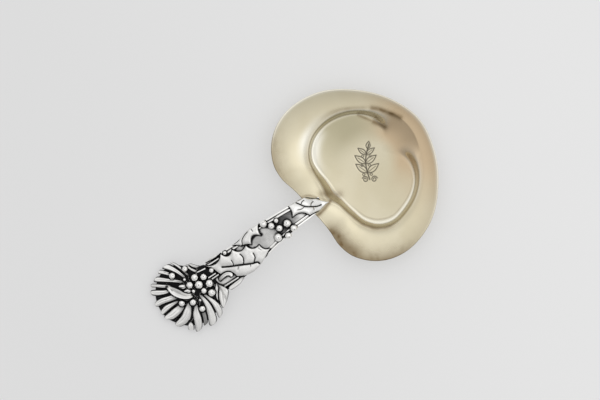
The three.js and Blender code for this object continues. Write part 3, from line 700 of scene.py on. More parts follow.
def berry(seat, x, y, radius):
    """Ball with a small eye in its skin, sunk a little into its seat."""
    (x, y), = plan([(x, y)], seat)
    lean = chance.uniform(0.15, 0.5)
    toward = chance.uniform(0, 2 * pi)
    eye = np.array([
        sin(lean) * cos(toward),
        sin(lean) * sin(toward),
        cos(lean),
    ])
    tilt = np.linspace(*BERRY_SPAN, BERRY_RINGS)[:, None]
    turn = np.linspace(0, 2 * pi, BERRY_SIDES, endpoint=False)[None, :]
    skin = np.dstack([
        np.cos(tilt) * np.cos(turn),
        np.cos(tilt) * np.sin(turn),
        np.sin(tilt) + 0 * turn,
    ])
    pit = bell(np.arccos(np.clip(skin @ eye, -1, 1)), EYE_WIDTH)
    ball = skin * radius * (1 - EYE_DEPTH * pit)[..., None]
    middle = laid([[x, y, BERRY_SINK * radius]], seat)[0]
    points, faces = loft(ball + middle)
    return points, faces, np.append(EYE_DARK * pit.reshape(-1), [0, 0])


# Stem. Its side is drawn as insets and shares of its height.
STEM_SIDE = [(STEM_BEVEL, 0), (0.3 * STEM_BEVEL, 0.08), (0.05, 0.25), (0, 0.5)]
STEM_EDGE = 0.8  # share of its height at the foot of the outer rail
RAIL_ARC = (0.1, 0.9)  # part of a half turn that a rail's top follows
RAIL_SQUARE = 0.4
RAIL_FOOT = 0.02
GROOVE_DEPTH = 0.7  # against the panel's
GROOVE_DARK = 1.5
PANEL_SIDES = (0.75, 1.1)  # oxide with a painted shade that grows from its right edge to its left, against its strength
# Strength of the oxide on the panel, along the handle
PANEL_OXIDE = [
    (STEM_END, 0.4), (stem_at(0.38), 0.45), (stem_at(0.5), 0.54), (stem_at(0.58), 0.45),
    (stem_at(0.66), 0.58), (stem_at(0.74), 0.8), (stem_at(0.84), 0.68), (stem_at(0.89), 0.52),
    (-2, 0.42), (0, 0.3), (1.5, 0),
]
# Darker places drawn on the panel
PANEL_SHADOWS = [
    (1, 0.75, [(stem_at(0.43), 1), (stem_at(0.46), 1.6), (stem_at(0.5), 1.8), (stem_at(0.54), 1)]),
    (0.9, 0.8, [(stem_at(0.59), 2.6), (stem_at(0.63), 1.4), (stem_at(0.67), 0), (stem_at(0.68), -1.4)]),
]


def rail_section(width, top):
    """Half of the stem's section from its edge inwards, in rows of inset, height and share of oxide.

    Rails and grooves are narrower where the stem is narrow.
    """
    rail = min(RAIL_WIDTH, width / 8)
    groove = RAIL_GROOVE * min(1, width / 6)
    panel = top - PANEL_DEPTH * top / STEM_THICK
    trough = mix(top, panel, GROOVE_DEPTH)
    inner = rail + groove
    section = [(inset, share * top, 0) for inset, share in STEM_SIDE]
    for start, outside, inside in ((0, STEM_EDGE * top, trough), (inner, trough, panel)):
        for angle in np.linspace(*RAIL_ARC, 8) * pi:
            level = outside if angle < pi / 2 else inside
            inset = start + rail * (1 - cos(angle)) / 2
            section.append((inset, mix(level, top, sin(angle) ** RAIL_SQUARE), 0))
        section.append((start + rail + RAIL_FOOT, inside, GROOVE_DARK))
    for share in np.linspace(0, 1, 16)[1:-1]:
        section.append((mix(inner + rail, width / 2, share), panel, 1))
    return section


def stem():
    """Strip with two rails along each edge and a sunk panel, down to the tongue over the bowl's rim."""
    rings = []
    dark = []
    for x in np.linspace(STEM_END + SIDE_GAP, TONGUE_LENGTH, STEM_STATIONS):
        left = float(through(STEM_LEFT, x))
        right = float(through(STEM_RIGHT, x))
        half = rail_section(left - right, float(through(STEM_TOP, x)))
        ring = [(x, right + inset, z) for inset, z, _ in half]
        ring.append((x, (left + right) / 2, half[-1][1]))
        ring += [(x, left - inset, z) for inset, z, _ in reversed(half)]
        rings.append(ring)
        shares = [row[2] for row in half]
        sunk = np.array([*shares, 1, *reversed(shares)])
        # Oxide of the panel, with painted shade that grows towards its left edge
        darkened = np.linspace(*PANEL_SIDES, len(ring)) * through(PANEL_OXIDE, x)
        shadows = cuts(np.array(ring)[:, :2], PANEL_SHADOWS)
        dark.append(sunk * np.maximum(darkened, shadows))
    points, faces = loft(laid(rings, "bare"))
    return points, faces, np.append(np.minimum(dark, 1).reshape(-1), [0, 0])


# Plate of the fan. Rings are at shares of its reach.
PLATE_FOOT = 12  # rings of its bright underside
PLATE_UNDER = (0.02, 0.93)
PLATE_SIDE = [(0.98, 0.08), (1, 0.3), (1, 0.6), (0.995, 0.85)]  # with heights
PLATE_TOP = (0.985, 0.01)
PLATE_INTO_GAP = 0.9  # share of the gap to the stem that it fills
STALK_HEIGHT = 0.3
STALK_WIDTH = 0.14
STALK_BRIGHT = 0.65
STALK_ROOT = (2.4, -1.6)
STALK_RUN = (0.2, 1.15)  # shares of the way from the root to a leaf's foot
STALK_BOW = 0.12
STALK_STRENGTH = 0.85
GAP_RIDGES = (154, 157, 176, 186, 206, 209, 232)  # degrees of low ridges in the widest gaps between leaves
GAP_RIDGE_STRENGTH = 0.6


def stalks():
    """Low lines on the plate, from near its middle to the foot of each mistletoe leaf on it."""
    lines = []
    shares = np.linspace(*STALK_RUN, 5)
    for left, right in FAN_LEAVES:
        reach = (np.array(left[0]) + right[0]) / 2 - STALK_ROOT
        bow = STALK_BOW * quarter_turn(reach)
        curve = [STALK_ROOT + reach * s + bow * sin(pi * s) for s in shares]
        lines.append((STALK_STRENGTH, STALK_WIDTH, plan(curve, "fan")))
    for turn in np.radians(GAP_RIDGES):
        toward = np.array([cos(turn), sin(turn)])
        ridge = [toward * reach for reach in (6, 8, 10)]
        lines.append((GAP_RIDGE_STRENGTH, STALK_WIDTH, plan(ridge, "fan")))
    return lines


def fan_plate():
    """Domed plate, black with oxide and painted shade between its low stalks, and bright below."""
    turn = np.linspace(-pi, pi, PLATE_SIDES, endpoint=False)
    free = FAN_RADIUS * through(PLATE_REACH, np.degrees(turn))
    flat = FAN_FLAT + PLATE_INTO_GAP * SIDE_GAP
    reach = np.minimum(free, flat / np.maximum(np.cos(turn), TINY))

    def ring(share, height=None):
        x = FAN_X + share * reach * np.cos(turn)
        y = FAN_OFFSET + share * reach * np.sin(turn)
        z = dome(x, y) if height is None else np.full_like(x, height)
        return np.stack([x, y, z], axis=1)

    under = [ring(share, 0) for share in np.linspace(*PLATE_UNDER, PLATE_FOOT)]
    side = [ring(share, height) for share, height in PLATE_SIDE]
    rings = np.array(under + side + [ring(share) for share in np.linspace(*PLATE_TOP, PLATE_RINGS)])
    raised = np.zeros(rings.shape[:2])
    places = rings[-PLATE_RINGS:, :, :2].reshape(-1, 2)
    raised[-PLATE_RINGS:] = cuts(places, stalks()).reshape(PLATE_RINGS, -1)
    rings[..., 2] += STALK_HEIGHT * raised
    dark = 1 - STALK_BRIGHT * raised
    dark[:PLATE_FOOT] = 0
    points, faces = loft(laid(rings, "bare"))
    return points, faces, np.append(dark.reshape(-1), [0, 1])


# Sprig engraved in the bowl: a stem with paired leaves and berries
SPRIG_FOOT = (0.4, -4.2)
SPRIG_TIP = (6.2, 4.6)
SPRIG_BEND = 1.1
SPRIG_PAIRS = ((0.2, 4.3), (0.46, 4), (0.72, 3.1))  # place along the stem, and length of the leaves


def sprig_lines():
    """The sprig's lines, as depth, width and points."""
    foot = np.array(SPRIG_FOOT)
    along = np.array(SPRIG_TIP) - foot
    forward = along / norm(along)
    aside = quarter_turn(along) / norm(along)
    lines = []

    def on_stem(share):
        return foot + along * share + aside * SPRIG_BEND * sin(pi * share)

    def leaf(base, tip, swell):
        out = swell * quarter_turn(tip - base) / norm(tip - base)
        shares = np.linspace(0, 1, 7)
        for side in (out, -out):
            edge = [mix(base, tip, s) + side * sin(pi * s ** 0.85) for s in shares]
            lines.append((0.95, 0.17, edge))
        lines.append((0.8, 0.13, [mix(base, tip, s) for s in (0.05, 0.4, 0.72)]))

    stalk = [on_stem(share) for share in np.linspace(0, 1, 9)]
    lines.append((1, 0.22, stalk))
    leaf(stalk[-2], stalk[-1] + forward * 0.9, 0.62)
    for out in (aside, -aside):
        for share, length in SPRIG_PAIRS:
            base = on_stem(share)
            leaf(base, base + (forward * 0.6 + out * 0.8) * length, 0.21 * length)
            middle = base - forward * 0.55 + out * 1.15
            ring = [middle + 0.34 * np.array([cos(turn), sin(turn)]) for turn in np.linspace(0, 2 * pi, 9)]
            lines.append((0.8, 0.09, [base - forward * 0.3, middle - out * 0.4]))
            lines.append((0.9, 0.14, ring))
        eye = foot + forward * 0.1 + out * 1.35
        curl = [eye + mix(0.25, 0.8, s) * (forward * sin(7 * s) - out * cos(7 * s))
                for s in np.linspace(0, 1.3, 12)]
        lines.append((0.95, 0.17, curl))
    return lines


# Finish of the bowl, with painted shade and painted highlights. Knots are degrees from its front and a
# strength.
# Painted rosy shade towards the front
ROSY_SHADE_STARTS = 5
ROSY_SHADE_FADE = 5
ROSY_SHADE = [(-110, 0), (-70, 0.4), (-45, 0.95), (-10, 1), (20, 1), (42, 0.4), (60, 0.1), (80, 0)]
# Tarnish and painted shade towards the rim
RIM_STAIN_AND_SHADE_WIDTH = 2.6
RIM_STAIN_AND_SHADE = [
    (-180, 0.1), (-166, 0.15), (-152, 1), (-135, 1), (-117, 1), (-93, 0.15), (-60, 0.02), (0, 0.1),
    (60, 0.05), (110, 0.05), (138, 0.75), (156, 0.4), (180, 0.2),
]
# Bands along the wall of the well: place and width from 0 at its foot to 1 at its shoulder, then knots
# Tarnish and painted shade in bands along the wall
WALL_STAINS_AND_SHADE = [
    (0.66, 0.2, [(-180, 0.3), (-125, 0.7), (-95, 0.15), (-45, 0.1), (-15, 0), (20, 0.05), (80, 0.05),
                 (115, 0.15), (135, 0.35), (150, 0.45), (180, 0.4)]),
    (1, 0.28, [(42, 0), (60, 0.42), (85, 0.42), (102, 0.1), (115, 0)]),
    (0, 0.06, [(-160, 0), (-130, 0.35), (-75, 0.35), (-40, 0)]),
]
# Painted highlights in bands along the wall
WALL_HIGHLIGHTS = [
    (0.24, 0.17, [(-180, 0.4), (-140, 0.6), (-90, 0.8), (-65, 0.3), (-35, 0), (75, 0), (100, 0.1),
                  (122, 0.8), (150, 0.7), (180, 0.2)]),
    (1.1, 0.4, [(85, 0), (106, 0.5), (122, 1), (136, 0.4), (150, 0)]),
    (0, 0.4, [(100, 0), (116, 0.7), (128, 0.9), (150, 0.2), (165, 0)]),
    (0.55, 0.3, [(-95, 0), (-72, 0.5), (-50, 0.55), (-30, 0.2), (-10, 0), (20, 0), (45, 0.9), (75, 0.8),
                  (98, 0.3), (112, 0)]),
]
# Wear and a painted highlight along the lip
RIM_WEAR_AND_HIGHLIGHT_WIDTH = 0.7
RIM_WEAR_AND_HIGHLIGHT = [
    (-105, 0), (-75, 0.5), (-45, 1), (0, 0.9), (35, 0.7), (60, 0.8), (95, 1), (120, 0.95), (136, 0),
]
# Painted olive shade on the floor and the wall towards the top of the camera's view
OLIVE_SHADE_STARTS = 4
OLIVE_SHADE_FADE = 7
OLIVE_SHADE_UP_WALL = 1 / 3  # share of the wall where it ends
OLIVE_SHADE = [(10, 0), (35, 0.5), (60, 0.8), (90, 0.9), (110, 0.7), (135, 0.35), (160, 0.1), (180, 0)]
# Tarnish and painted shadows drawn on the bowl, such as the shadow beside the handle's tongue and dark
# wedges on the wall: strength, width and points
TARNISH_AND_SHADOWS = [
    (1, 2.5, [(-18.4, -11), (-18, -14), (-17.4, -16.6), (-16.4, -19)]),
    (0.9, 0.8, [(13.2, 12.9), (15, 11), (16.7, 8.6), (18.4, 5.9)]),
    (0.6, 0.45, [(8.6, 13.6), (9.8, 11.7), (11.3, 9.3)]),
    (1, 0.75, [(11.3, 9.3), (12.3, 7.6), (13.1, 6.1)]),
    (0.5, 1.3, [(-14, 0.5), (-11.6, -0.9), (-9.6, -2.6)]),
    (0.95, 0.6, [(-20.2, -3.9), (-17.5, -3.9), (-14.6, -3.2), (-13, -2.6)]),
    (0.5, 0.4, [(-19.4, 3), (-17.4, 2.4), (-15.4, 0.2), (-13.2, -2.4)]),
]


# Rings of the bowl, from the middle out
HUB = 0.04
ENGRAVED_RINGS = 62
WELL_RINGS = 96
FLANGE_RINGS = 32
LIP_RINGS = 7


def bowl_finish(reach, tarnish_and_shadow, degrees, rim, shoulder, foot):
    """Strength of each finish, painted shade and highlights among them, by the reach from the heart's
    centre and the degrees from the front.
    """
    up_wall = (reach - foot) / (shoulder - foot)
    from_rim = np.maximum(rim - reach, 0)

    def bands(rows):
        return sum(bell(up_wall - at, wide) * through(knots, degrees) for at, wide, knots in rows)

    # Painted rosy and olive shade, tarnish with painted shade, and wear with painted highlights
    rosy_shade = ease((reach - ROSY_SHADE_STARTS) / ROSY_SHADE_FADE) * through(ROSY_SHADE, degrees)
    on_floor = ease((reach - OLIVE_SHADE_STARTS) / OLIVE_SHADE_FADE) * ease(1 - up_wall / OLIVE_SHADE_UP_WALL)
    edge = np.exp(-from_rim / RIM_STAIN_AND_SHADE_WIDTH) * through(RIM_STAIN_AND_SHADE, degrees)
    unmarked = (1 - np.minimum(edge, 1)) * (1 - np.minimum(bands(WALL_STAINS_AND_SHADE), 1)) * (1 - tarnish_and_shadow)
    wear_and_highlight = bell(from_rim, RIM_WEAR_AND_HIGHLIGHT_WIDTH) * through(RIM_WEAR_AND_HIGHLIGHT, degrees) + bands(WALL_HIGHLIGHTS)
    return {
        "rosy_shade": rosy_shade,
        "olive_shade": on_floor * through(OLIVE_SHADE, degrees),
        "stain_and_shade": 1 - unmarked,
        "wear_and_highlight": np.minimum(wear_and_highlight, 1),
    }


def bowl():
    """Heart-shaped sheet with a flange, a steep wall and an engraved floor, and its finishes with painted
    shade and highlights.
    """
    turn = np.linspace(0, 2 * pi, BOWL_SIDES, endpoint=False)
    degrees = np.degrees(np.where(turn > pi, turn - 2 * pi, turn))
    rim = heart(HEART_RIM, np.abs(degrees))
    shoulder = heart(HEART_SHOULDER, degrees)
    foot = heart(HEART_FOOT, degrees)
    top = mix(LIP_HEIGHT, RIM_HEIGHT, ease(np.abs(degrees) / 180))
    drop = FLANGE_SLOPE * (rim - shoulder)
    ledge = top - drop
    scoop = ease((SCOOP_ENDS - np.abs(degrees)) / (SCOOP_ENDS - SCOOP_FULL))
    steep = through(WALL_STEEP, degrees)

    # Top of the sheet, with its wall and flange
    r = [np.full_like(rim, reach) for reach in np.linspace(HUB, ENGRAVED_REACH, ENGRAVED_RINGS)]
    r += [mix(ENGRAVED_REACH, shoulder, s) for s in np.linspace(0, 1, WELL_RINGS + 1)[1:]]
    r += [mix(shoulder, rim - LIP, s) for s in np.linspace(0, 1, FLANGE_RINGS + 1)[1:]]
    r = np.array(r)
    s = np.clip((r - foot) / (shoulder - foot), 0, 1)
    step = s ** steep / (s ** steep + (1 - s) ** steep)
    out = np.clip((r - shoulder) / (rim - LIP - shoulder), 0, 1)
    z = mix(SHEET, ledge, mix(step, s ** SCOOP_POWER, scoop)) + drop * out ** FLANGE_DISH

    # Its underside, a sheet's thickness away, and the round lip between them
    slope_r = np.gradient(r, axis=0)
    slope_z = np.gradient(z, axis=0)
    length = np.hypot(slope_r, slope_z)
    under_r = np.maximum.accumulate(r + SHEET * slope_z / length, axis=0)
    under_r = np.minimum(under_r, rim - LIP)
    under_z = np.maximum(z - SHEET * slope_r / length, 0)
    z += DISH * (np.minimum(r, foot) / DISH_REACH) ** 2 * np.clip((ledge - z) / (ledge - SHEET), 0, 1)
    lines = list(zip(r, z))
    for angle in np.linspace(0, pi, LIP_RINGS + 2)[1:-1]:
        lines.append((rim - LIP + LIP * sin(angle), top - SHEET * (1 - cos(angle)) / 2))
    below = len(lines)
    for outer, inner, every in ((len(r) - 1, ENGRAVED_RINGS, 2), (ENGRAVED_RINGS, 0, 10)):
        lines += [(under_r[i], under_z[i]) for i in range(outer, inner, -every)]

    centre_x = BOWL_CENTRE * cos(BOWL_TURN)
    centre_y = BOWL_CENTRE * sin(BOWL_TURN)
    x = np.cos(turn + BOWL_TURN)
    y = np.sin(turn + BOWL_TURN)
    rings = np.array([np.stack([centre_x + a * x, centre_y + a * y, b], axis=1) for a, b in lines])
    engraved = np.zeros(rings.shape[:2])
    floor = rings[:ENGRAVED_RINGS, :, :2].reshape(-1, 2)
    engraved[:ENGRAVED_RINGS] = cuts(floor, sprig_lines()).reshape(ENGRAVED_RINGS, -1)
    rings[..., 2] -= ENGRAVED_DEPTH * engraved
    reach = np.hypot(rings[..., 0] - centre_x, rings[..., 1] - centre_y)
    tarnish_and_shadow = cuts(rings[..., :2].reshape(-1, 2), TARNISH_AND_SHADOWS).reshape(reach.shape)
    layers = {"engraved": engraved, **bowl_finish(reach, tarnish_and_shadow, degrees, rim, shoulder, foot)}
    for layer in layers.values():
        layer[below:] *= np.exp(-(rim - reach[below:]) / RIM_STAIN_AND_SHADE_WIDTH)
    points, faces = loft(rings)
    return points, faces, {name: np.append(layer.reshape(-1), [0, 0]) for name, layer in layers.items()}


# Materials
SILVER = (0.97, 0.962, 0.94, 1)
OXIDE_AND_SHADE_BLACK = (0.013, 0.013, 0.0135, 1)
GOLD = (0.72, 0.66, 0.495, 1)
DEEP_GOLD = (0.68, 0.615, 0.445, 1)
OLIVE_SHADE_GOLD = (0.46, 0.42, 0.28, 1)
ROSY_SHADE_GOLD = (0.63, 0.49, 0.32, 1)
WEAR_AND_HIGHLIGHT_GOLD = (0.9, 0.87, 0.76, 1)
BROWN_STAIN_AND_SHADE = (0.19, 0.128, 0.06, 1)
ENGRAVED_GOLD = (0.05, 0.04, 0.03, 1)


class Nodes:
    """Short ways to add nodes to a material or world, and to join them."""

    def __init__(self, owner):
        owner.use_nodes = True
        self.tree = owner.node_tree

    def feed(self, socket, value):
        if isinstance(value, bpy.types.NodeSocket):
            self.tree.links.new(value, socket)
        else:
            socket.default_value = value

    def add(self, kind, *values, **settings):
        """New node with its settings, values for its first sockets, and others by their names."""
        node = self.tree.nodes.new("ShaderNode" + kind)
        for key, value in settings.items():
            if hasattr(node, key):
                setattr(node, key, value)
            else:
                self.feed(node.inputs[key], value)
        for socket, value in zip(node.inputs, values):
            self.feed(socket, value)
        return node

    def math(self, operation, *values):
        return self.add("Math", *values, operation=operation).outputs[0]

    def along(self, vector, axis):
        return self.add("VectorMath", vector, axis, operation="DOT_PRODUCT").outputs["Value"]

    def attribute(self, name):
        return self.add("Attribute", attribute_name=name).outputs["Fac"]

    def noise(self, scale, detail, stretch=(1, 1, 1)):
        where = self.add("TexCoord").outputs["Object"]
        place = self.add("Mapping", where, Scale=stretch).outputs["Vector"]
        return self.add("TexNoise", place, Scale=scale, Detail=detail).outputs["Fac"]

    def grain(self, scale, detail, span, least):
        """Noise that varies by a span over its least value."""
        return self.math("MULTIPLY_ADD", self.noise(scale, detail), span, least)

    def ramp(self, value, low, high, start=0.0, end=1.0):
        node = self.add("MapRange", value, low, high, start, end, interpolation_type="SMOOTHSTEP")
        return node.outputs[0]

    def blend(self, share, a, b):
        node = self.add("Mix", share, data_type="RGBA")
        self.feed(node.inputs[6], a)
        self.feed(node.inputs[7], b)
        return node.outputs[2]

    def bump(self, height, strength, distance):
        return self.add("Bump", Height=height, Strength=strength, Distance=distance).outputs["Normal"]


def metal(name):
    """New metal, with its nodes and its shader's sockets."""
    material = bpy.data.materials.new(name)
    nodes = Nodes(material)
    shader = nodes.tree.nodes["Principled BSDF"]
    shader.inputs["Metallic"].default_value = 1
    return material, nodes, shader.inputs


def silver_material(name, dark_from, dark_to):
    """Polished silver, black with oxide and painted shade in its recesses and where it is drawn dark."""
    material, nodes, inputs = metal(name)
    patches = nodes.grain(scale=900, detail=4, span=0.2, least=-0.1)
    # The layer holds oxide and painted shade, both of which darken the silver
    darkening = nodes.math("ADD", nodes.attribute("cavity"), patches)
    darkened = nodes.ramp(darkening, dark_from, dark_to)
    nodes.feed(inputs["Base Color"], nodes.blend(darkened, SILVER, OXIDE_AND_SHADE_BLACK))
    polish = nodes.grain(scale=2600, detail=3, span=0.1, least=0.13)
    nodes.feed(inputs["Roughness"], nodes.math("MULTIPLY_ADD", darkened, 0.25, polish))
    waves = nodes.noise(scale=1500, detail=3)
    nodes.feed(inputs["Normal"], nodes.bump(waves, strength=0.12, distance=0.00004))
    return material


def gilt_material():
    """Pale gold wash with painted shade, rosy towards the front and olive on the floor, browned by tarnish
    and painted shade along the rim, paler with wear and painted highlights, and dark where it is engraved.
    """
    material, nodes, inputs = metal("gilt")
    clouds = nodes.ramp(nodes.noise(scale=70, detail=3), low=0.35, high=0.65)
    colour = nodes.blend(clouds, GOLD, DEEP_GOLD)
    # Painted olive and rosy shade, then wear with painted highlights
    for layer, tint in (("olive_shade", OLIVE_SHADE_GOLD), ("rosy_shade", ROSY_SHADE_GOLD), ("wear_and_highlight", WEAR_AND_HIGHLIGHT_GOLD)):
        colour = nodes.blend(nodes.attribute(layer), colour, tint)
    # Tarnish and painted shade, browner in spots
    spots = nodes.ramp(nodes.noise(scale=420, detail=5), low=0.42, high=0.75)
    stain_and_shade = nodes.math("MULTIPLY", nodes.attribute("stain_and_shade"), nodes.math("MULTIPLY_ADD", spots, 0.3, 0.82))
    colour = nodes.blend(stain_and_shade, colour, BROWN_STAIN_AND_SHADE)
    nodes.feed(inputs["Base Color"], nodes.blend(nodes.attribute("engraved"), colour, ENGRAVED_GOLD))
    polish = nodes.grain(scale=600, detail=4, span=0.08, least=0.17)
    nodes.feed(inputs["Roughness"], nodes.math("MULTIPLY_ADD", stain_and_shade, 0.2, polish))
    brushed = nodes.noise(scale=2200, detail=2, stretch=(1, 0.06, 1))
    nodes.feed(inputs["Normal"], nodes.bump(brushed, strength=0.05, distance=0.00003))
    return material


silver = silver_material("silver", dark_from=0.1, dark_to=0.9)
# The fan's plate: black oxide, and painted shade in the gaps between the leaves
oxide_and_gap_shade = silver_material("oxidised_silver", dark_from=0, dark_to=0.8)
gilt = gilt_material()


# Pieces
SHARP_FROM = radians(55)


def add_object(name, data):
    added = bpy.data.objects.new(name, data)
    bpy.context.scene.collection.objects.link(added)
    return added


def make(node, points, faces, material, slot, **attributes):
    """Visible piece for a node of the frame, with values for each of its corners."""
    mesh = bpy.data.meshes.new(node + "_finish")
    mesh.from_pydata((np.asarray(points) * MM).tolist(), [], faces)
    mesh.polygons.foreach_set("use_smooth", [True] * len(faces))
    for name, values in attributes.items():
        layer = mesh.attributes.new(name, "FLOAT", "POINT")
        layer.data.foreach_set("value", np.asarray(values, np.float32))
    mesh.materials.append(material)
    mesh.set_sharp_from_angle(angle=SHARP_FROM)
    piece = add_object(node + "_finish", mesh)
    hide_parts(node)
    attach(piece, "root")
    return piece


handle = []


def add_silver(node, points, faces, dark=None):
    """Silver piece of the handle, with the oxide and painted shade that are drawn on it."""
    dark = np.zeros(len(points)) if dark is None else dark
    handle.append(make(node, points, faces, silver, "silver", cavity=dark))


points, faces, layers = bowl()
make("bowl", points, faces, gilt, "gilt", **layers)
points, faces, dark = fan_plate()
handle.append(make("fan_plate", points, faces, oxide_and_gap_shade, "oxidised_silver", cavity=dark))
add_silver("stem", *stem())
for number, row in enumerate(FAN_BERRIES, 1):
    add_silver(f"fan_berry_{number:02}", *berry(*row))
for number, row in enumerate(STEM_BERRIES, 1):
    add_silver(f"stem_berry_{number}", *berry(*row))
for node, *row in HOLLY:
    add_silver(node, *holly(*row, VEINS.get(node, [])))
add_silver("curled_leaf", *mistletoe("fan", CURLED_LEAF, CURL_THICK, cupped=True))
for number, edges in enumerate(FAN_LEAVES, 1):
    finish = {"edge": RIDGE_STARTS, "spread": RIDGED_SPREAD} if number in RIDGED else {}
    thick = LOW_LEAF if number in LOW else LEAF_THICK
    add_silver(f"fan_leaf_{number:02}", *mistletoe("fan", edges, thick, painted_shade=SHADED_LEAVES.get(number, 0), **finish))
for node, *row in SMALL_LEAVES:
    add_silver(node, *mistletoe(*row))
for number, row in enumerate(TWIGS, 1):
    add_silver(f"twig_{number}", *twig(*row))


# Oxide and painted shade gather close beside other pieces, and where surfaces stand around a point
HALO_BLACK = 0.14
HALO_ENDS = 0.46
HALO_SQUASH = 0.3  # share of a difference in height that counts
HALO_BELOW = 0.35  # a surface further below than this doesn't count, nor one straight below
GROUND = ("stem_finish", "fan_plate_finish")
CAVITY_REACH = 2.2
CAVITY_NEAR = 0.6  # a surface further off than this darkens less
CAVITY_FAR_SHARE = 0.35
CAVITY_CLEAN = 0.2
CAVITY_BLACK = 0.62
CAVITY_RAYS = 20
RAY_LIFT = 0.03
GOLDEN_ANGLE = pi * (3 - sqrt(5))


def hemisphere(count):
    """Directions spread over a half ball about +Z, closer together towards its pole."""
    k = np.arange(count) + 0.5
    rise = np.sqrt(1 - k / count)
    turn = k * GOLDEN_ANGLE
    flat = np.sqrt(1 - rise ** 2)
    return np.stack([flat * np.cos(turn), flat * np.sin(turn), rise], axis=1)


def corners_of(mesh):
    """A mesh's corners in millimetres."""
    flat = np.empty(len(mesh.vertices) * 3, np.float32)
    mesh.vertices.foreach_get("co", flat)
    return flat.reshape(-1, 3) / MM


def beside(piece, solids):
    """How close each corner of a piece lies to another piece, from 0 to 1 where they nearly touch."""
    corners = corners_of(piece.data) * (1, 1, HALO_SQUASH)
    gap = np.full(len(corners), np.inf)
    for other, (tree, low, high) in solids.items():
        if other in (piece.name, *GROUND):
            continue
        close = np.all((corners > low - HALO_ENDS) & (corners < high + HALO_ENDS), axis=1)
        for i in np.flatnonzero(close):
            place, _, _, away = tree.find_nearest(corners[i], HALO_ENDS)
            if place is None:
                continue
            x, y, z = place - Vector(corners[i])
            if z > 0 or hypot(x, y) > HALO_BLACK and z > -HALO_SQUASH * HALO_BELOW:
                gap[i] = min(gap[i], away)
    return 1 - ease((gap - HALO_BLACK) / (HALO_ENDS - HALO_BLACK))


def enclosed(piece, whole):
    """Share of the sky over each corner that other surfaces cover, from 0 to 1 where it is black."""
    mesh = piece.data
    normals = np.empty(len(mesh.vertices) * 3, np.float32)
    mesh.vertex_normals.foreach_get("vector", normals)
    normals = normals.reshape(-1, 3)
    rays = hemisphere(CAVITY_RAYS)
    covered = np.zeros(len(normals))
    for i, (corner, normal) in enumerate(zip(corners_of(mesh), normals)):
        turn = np.array(Vector(normal).to_track_quat("Z", "Y").to_matrix())
        origin = Vector(corner + RAY_LIFT * normal)
        for ray in rays @ turn.T:
            away = whole.ray_cast(origin, ray, CAVITY_REACH)[3]
            if away is not None:
                far = ease((away - CAVITY_NEAR) / (CAVITY_REACH - CAVITY_NEAR))
                covered[i] += mix(1, CAVITY_FAR_SHARE, far)
    return ease((covered / CAVITY_RAYS - CAVITY_CLEAN) / (CAVITY_BLACK - CAVITY_CLEAN))


def shade_cavities(pieces):
    """Add the oxide and painted shade of recesses and close neighbours to what is drawn on each piece,
    apart from the plate.
    """
    solids = {}
    corners, faces = [], []
    for piece in pieces:
        own = corners_of(piece.data)
        sides = [tuple(polygon.vertices) for polygon in piece.data.polygons]
        flat = own * (1, 1, HALO_SQUASH)
        solids[piece.name] = (BVHTree.FromPolygons(flat.tolist(), sides), flat.min(0), flat.max(0))
        faces += [[len(corners) + i for i in side] for side in sides]
        corners += own.tolist()
    whole = BVHTree.FromPolygons(corners, faces)
    for piece in pieces:
        if piece.name == "fan_plate_finish":
            continue
        layer = piece.data.attributes["cavity"].data
        drawn = np.empty(len(layer), np.float32)
        layer.foreach_get("value", drawn)
        dark = np.maximum(beside(piece, solids), enclosed(piece, whole))
        layer.foreach_set("value", (1 - (1 - drawn) * (1 - dark)).astype(np.float32))


shade_cavities(handle)


# Floor, light and camera
FLOOR_SIZE = 6
FLOOR_COLOUR = (0.82, 0.82, 0.82, 1)
FLOOR_GLOW = 0.5  # share of the floor's brightness, as seen, that no shadow reaches
# Brightness of the studio by the sine of the height above the horizon
SKY = [
    (0, 0.56), (0.1, 0.6), (0.3, 0.67), (0.6, 0.75), (0.74, 0.86), (0.86, 0.97), (0.94, 1),
    (0.985, 0.87), (1, 0.84),
]
SENSOR_WIDTH = 36


def picture_direction(right, up, toward=0.0):
    """A direction given to the right and up in the photograph, and toward its camera."""
    c, s = cos(PHOTO_TURN), sin(PHOTO_TURN)
    return Vector((c * right + s * up, -s * right + c * up, toward))


def floor():
    """Pale ground, with painted light that makes it brighter towards the right of the camera's view."""
    mesh = bpy.data.meshes.new("floor")
    corners = [(-1, -1, 0), (1, -1, 0), (1, 1, 0), (-1, 1, 0)]
    mesh.from_pydata([(x * FLOOR_SIZE, y * FLOOR_SIZE, z) for x, y, z in corners], [], [(0, 1, 2, 3)])
    material = bpy.data.materials.new("floor")
    nodes = Nodes(material)
    shader = nodes.tree.nodes["Principled BSDF"]
    shader.inputs["Base Color"].default_value = FLOOR_COLOUR
    shader.inputs["Roughness"].default_value = 0.9
    shader.inputs["Specular IOR Level"].default_value = 0.1
    path = nodes.add("LightPath")
    seen = path.outputs["Is Camera Ray"]
    for ray in ("Is Glossy Ray", "Is Transmission Ray"):
        seen = nodes.math("MAXIMUM", seen, path.outputs[ray])
    # Painted light: the glow grows brighter towards the right of the camera's view
    place = nodes.along(nodes.add("TexCoord").outputs["Object"], picture_direction(right=1, up=0.35))
    level = nodes.ramp(place, low=-0.12, high=0.09, start=0.75, end=0.89)
    glow = nodes.add("Emission", Strength=level)
    share = nodes.math("MULTIPLY", seen, FLOOR_GLOW)
    lit = nodes.add("MixShader", share, shader.outputs["BSDF"], glow.outputs["Emission"])
    nodes.feed(nodes.tree.nodes["Material Output"].inputs["Surface"], lit.outputs["Shader"])
    mesh.materials.append(material)
    ground = add_object("floor", mesh)


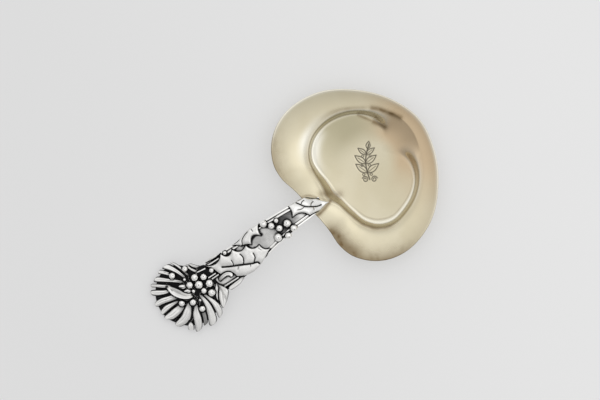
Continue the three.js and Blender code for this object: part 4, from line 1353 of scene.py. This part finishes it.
def soft_world():
    """Studio that is brightest overhead, and on the side towards the photograph's top."""
    world = bpy.data.worlds.new("studio")
    bpy.context.scene.world = world
    nodes = Nodes(world)
    direction = nodes.add("TexCoord").outputs["Generated"]
    bands = nodes.add("ValToRGB", nodes.along(direction, (0, 0, 1)))
    stops = bands.color_ramp.elements
    while len(stops) < len(SKY):
        stops.new(0.5)
    for stop, (place, level) in zip(stops, SKY):
        stop.position = place
        stop.color = (level, level, level, 1)
    to_side = nodes.along(direction, picture_direction(right=0.35, up=0.94))
    to_window = nodes.along(direction, picture_direction(right=0.31, up=-0.06, toward=0.95))
    side = nodes.ramp(to_side, low=-1, high=1, start=0.76, end=1.24)
    window = nodes.ramp(to_window, low=0.88, high=1, start=0, end=0.04)
    background = nodes.tree.nodes["Background"]
    nodes.feed(background.inputs["Color"], bands.outputs["Color"])
    nodes.feed(background.inputs["Strength"], nodes.math("ADD", side, window))


def soft_box():
    """Round lamp that looks at the spoon."""
    light = bpy.data.lights.new("window", "AREA")
    light.shape = "DISK"
    light.size = 0.5
    light.energy = 0.12
    lamp = add_object("window", light)
    lamp.location = picture_direction(right=0.3, up=0.1, toward=0.95)
    lamp.rotation_euler = (-lamp.location).to_track_quat("-Z", "Y").to_euler()


def overhead_camera():
    """Camera that looks straight down, and frames the spoon as the photograph does."""
    data = bpy.data.cameras.new("camera")
    data.sensor_width = SENSOR_WIDTH
    data.lens = SENSOR_WIDTH * CAMERA_HEIGHT / (PHOTO_WIDTH * PHOTO_SCALE)
    data.clip_end = 100
    camera = add_object("camera", data)
    across = (PHOTO_WIDTH / 2 - PHOTO_ORIGIN[0]) * PHOTO_SCALE
    down = (PHOTO_HEIGHT / 2 - PHOTO_ORIGIN[1]) * PHOTO_SCALE
    camera.location = picture_direction(across, -down, CAMERA_HEIGHT) * MM
    camera.rotation_euler = (0, 0, -PHOTO_TURN)
    bpy.context.scene.camera = camera


floor()
soft_world()
soft_box()
overhead_camera()
bpy.context.scene.view_settings.view_transform = "Standard"
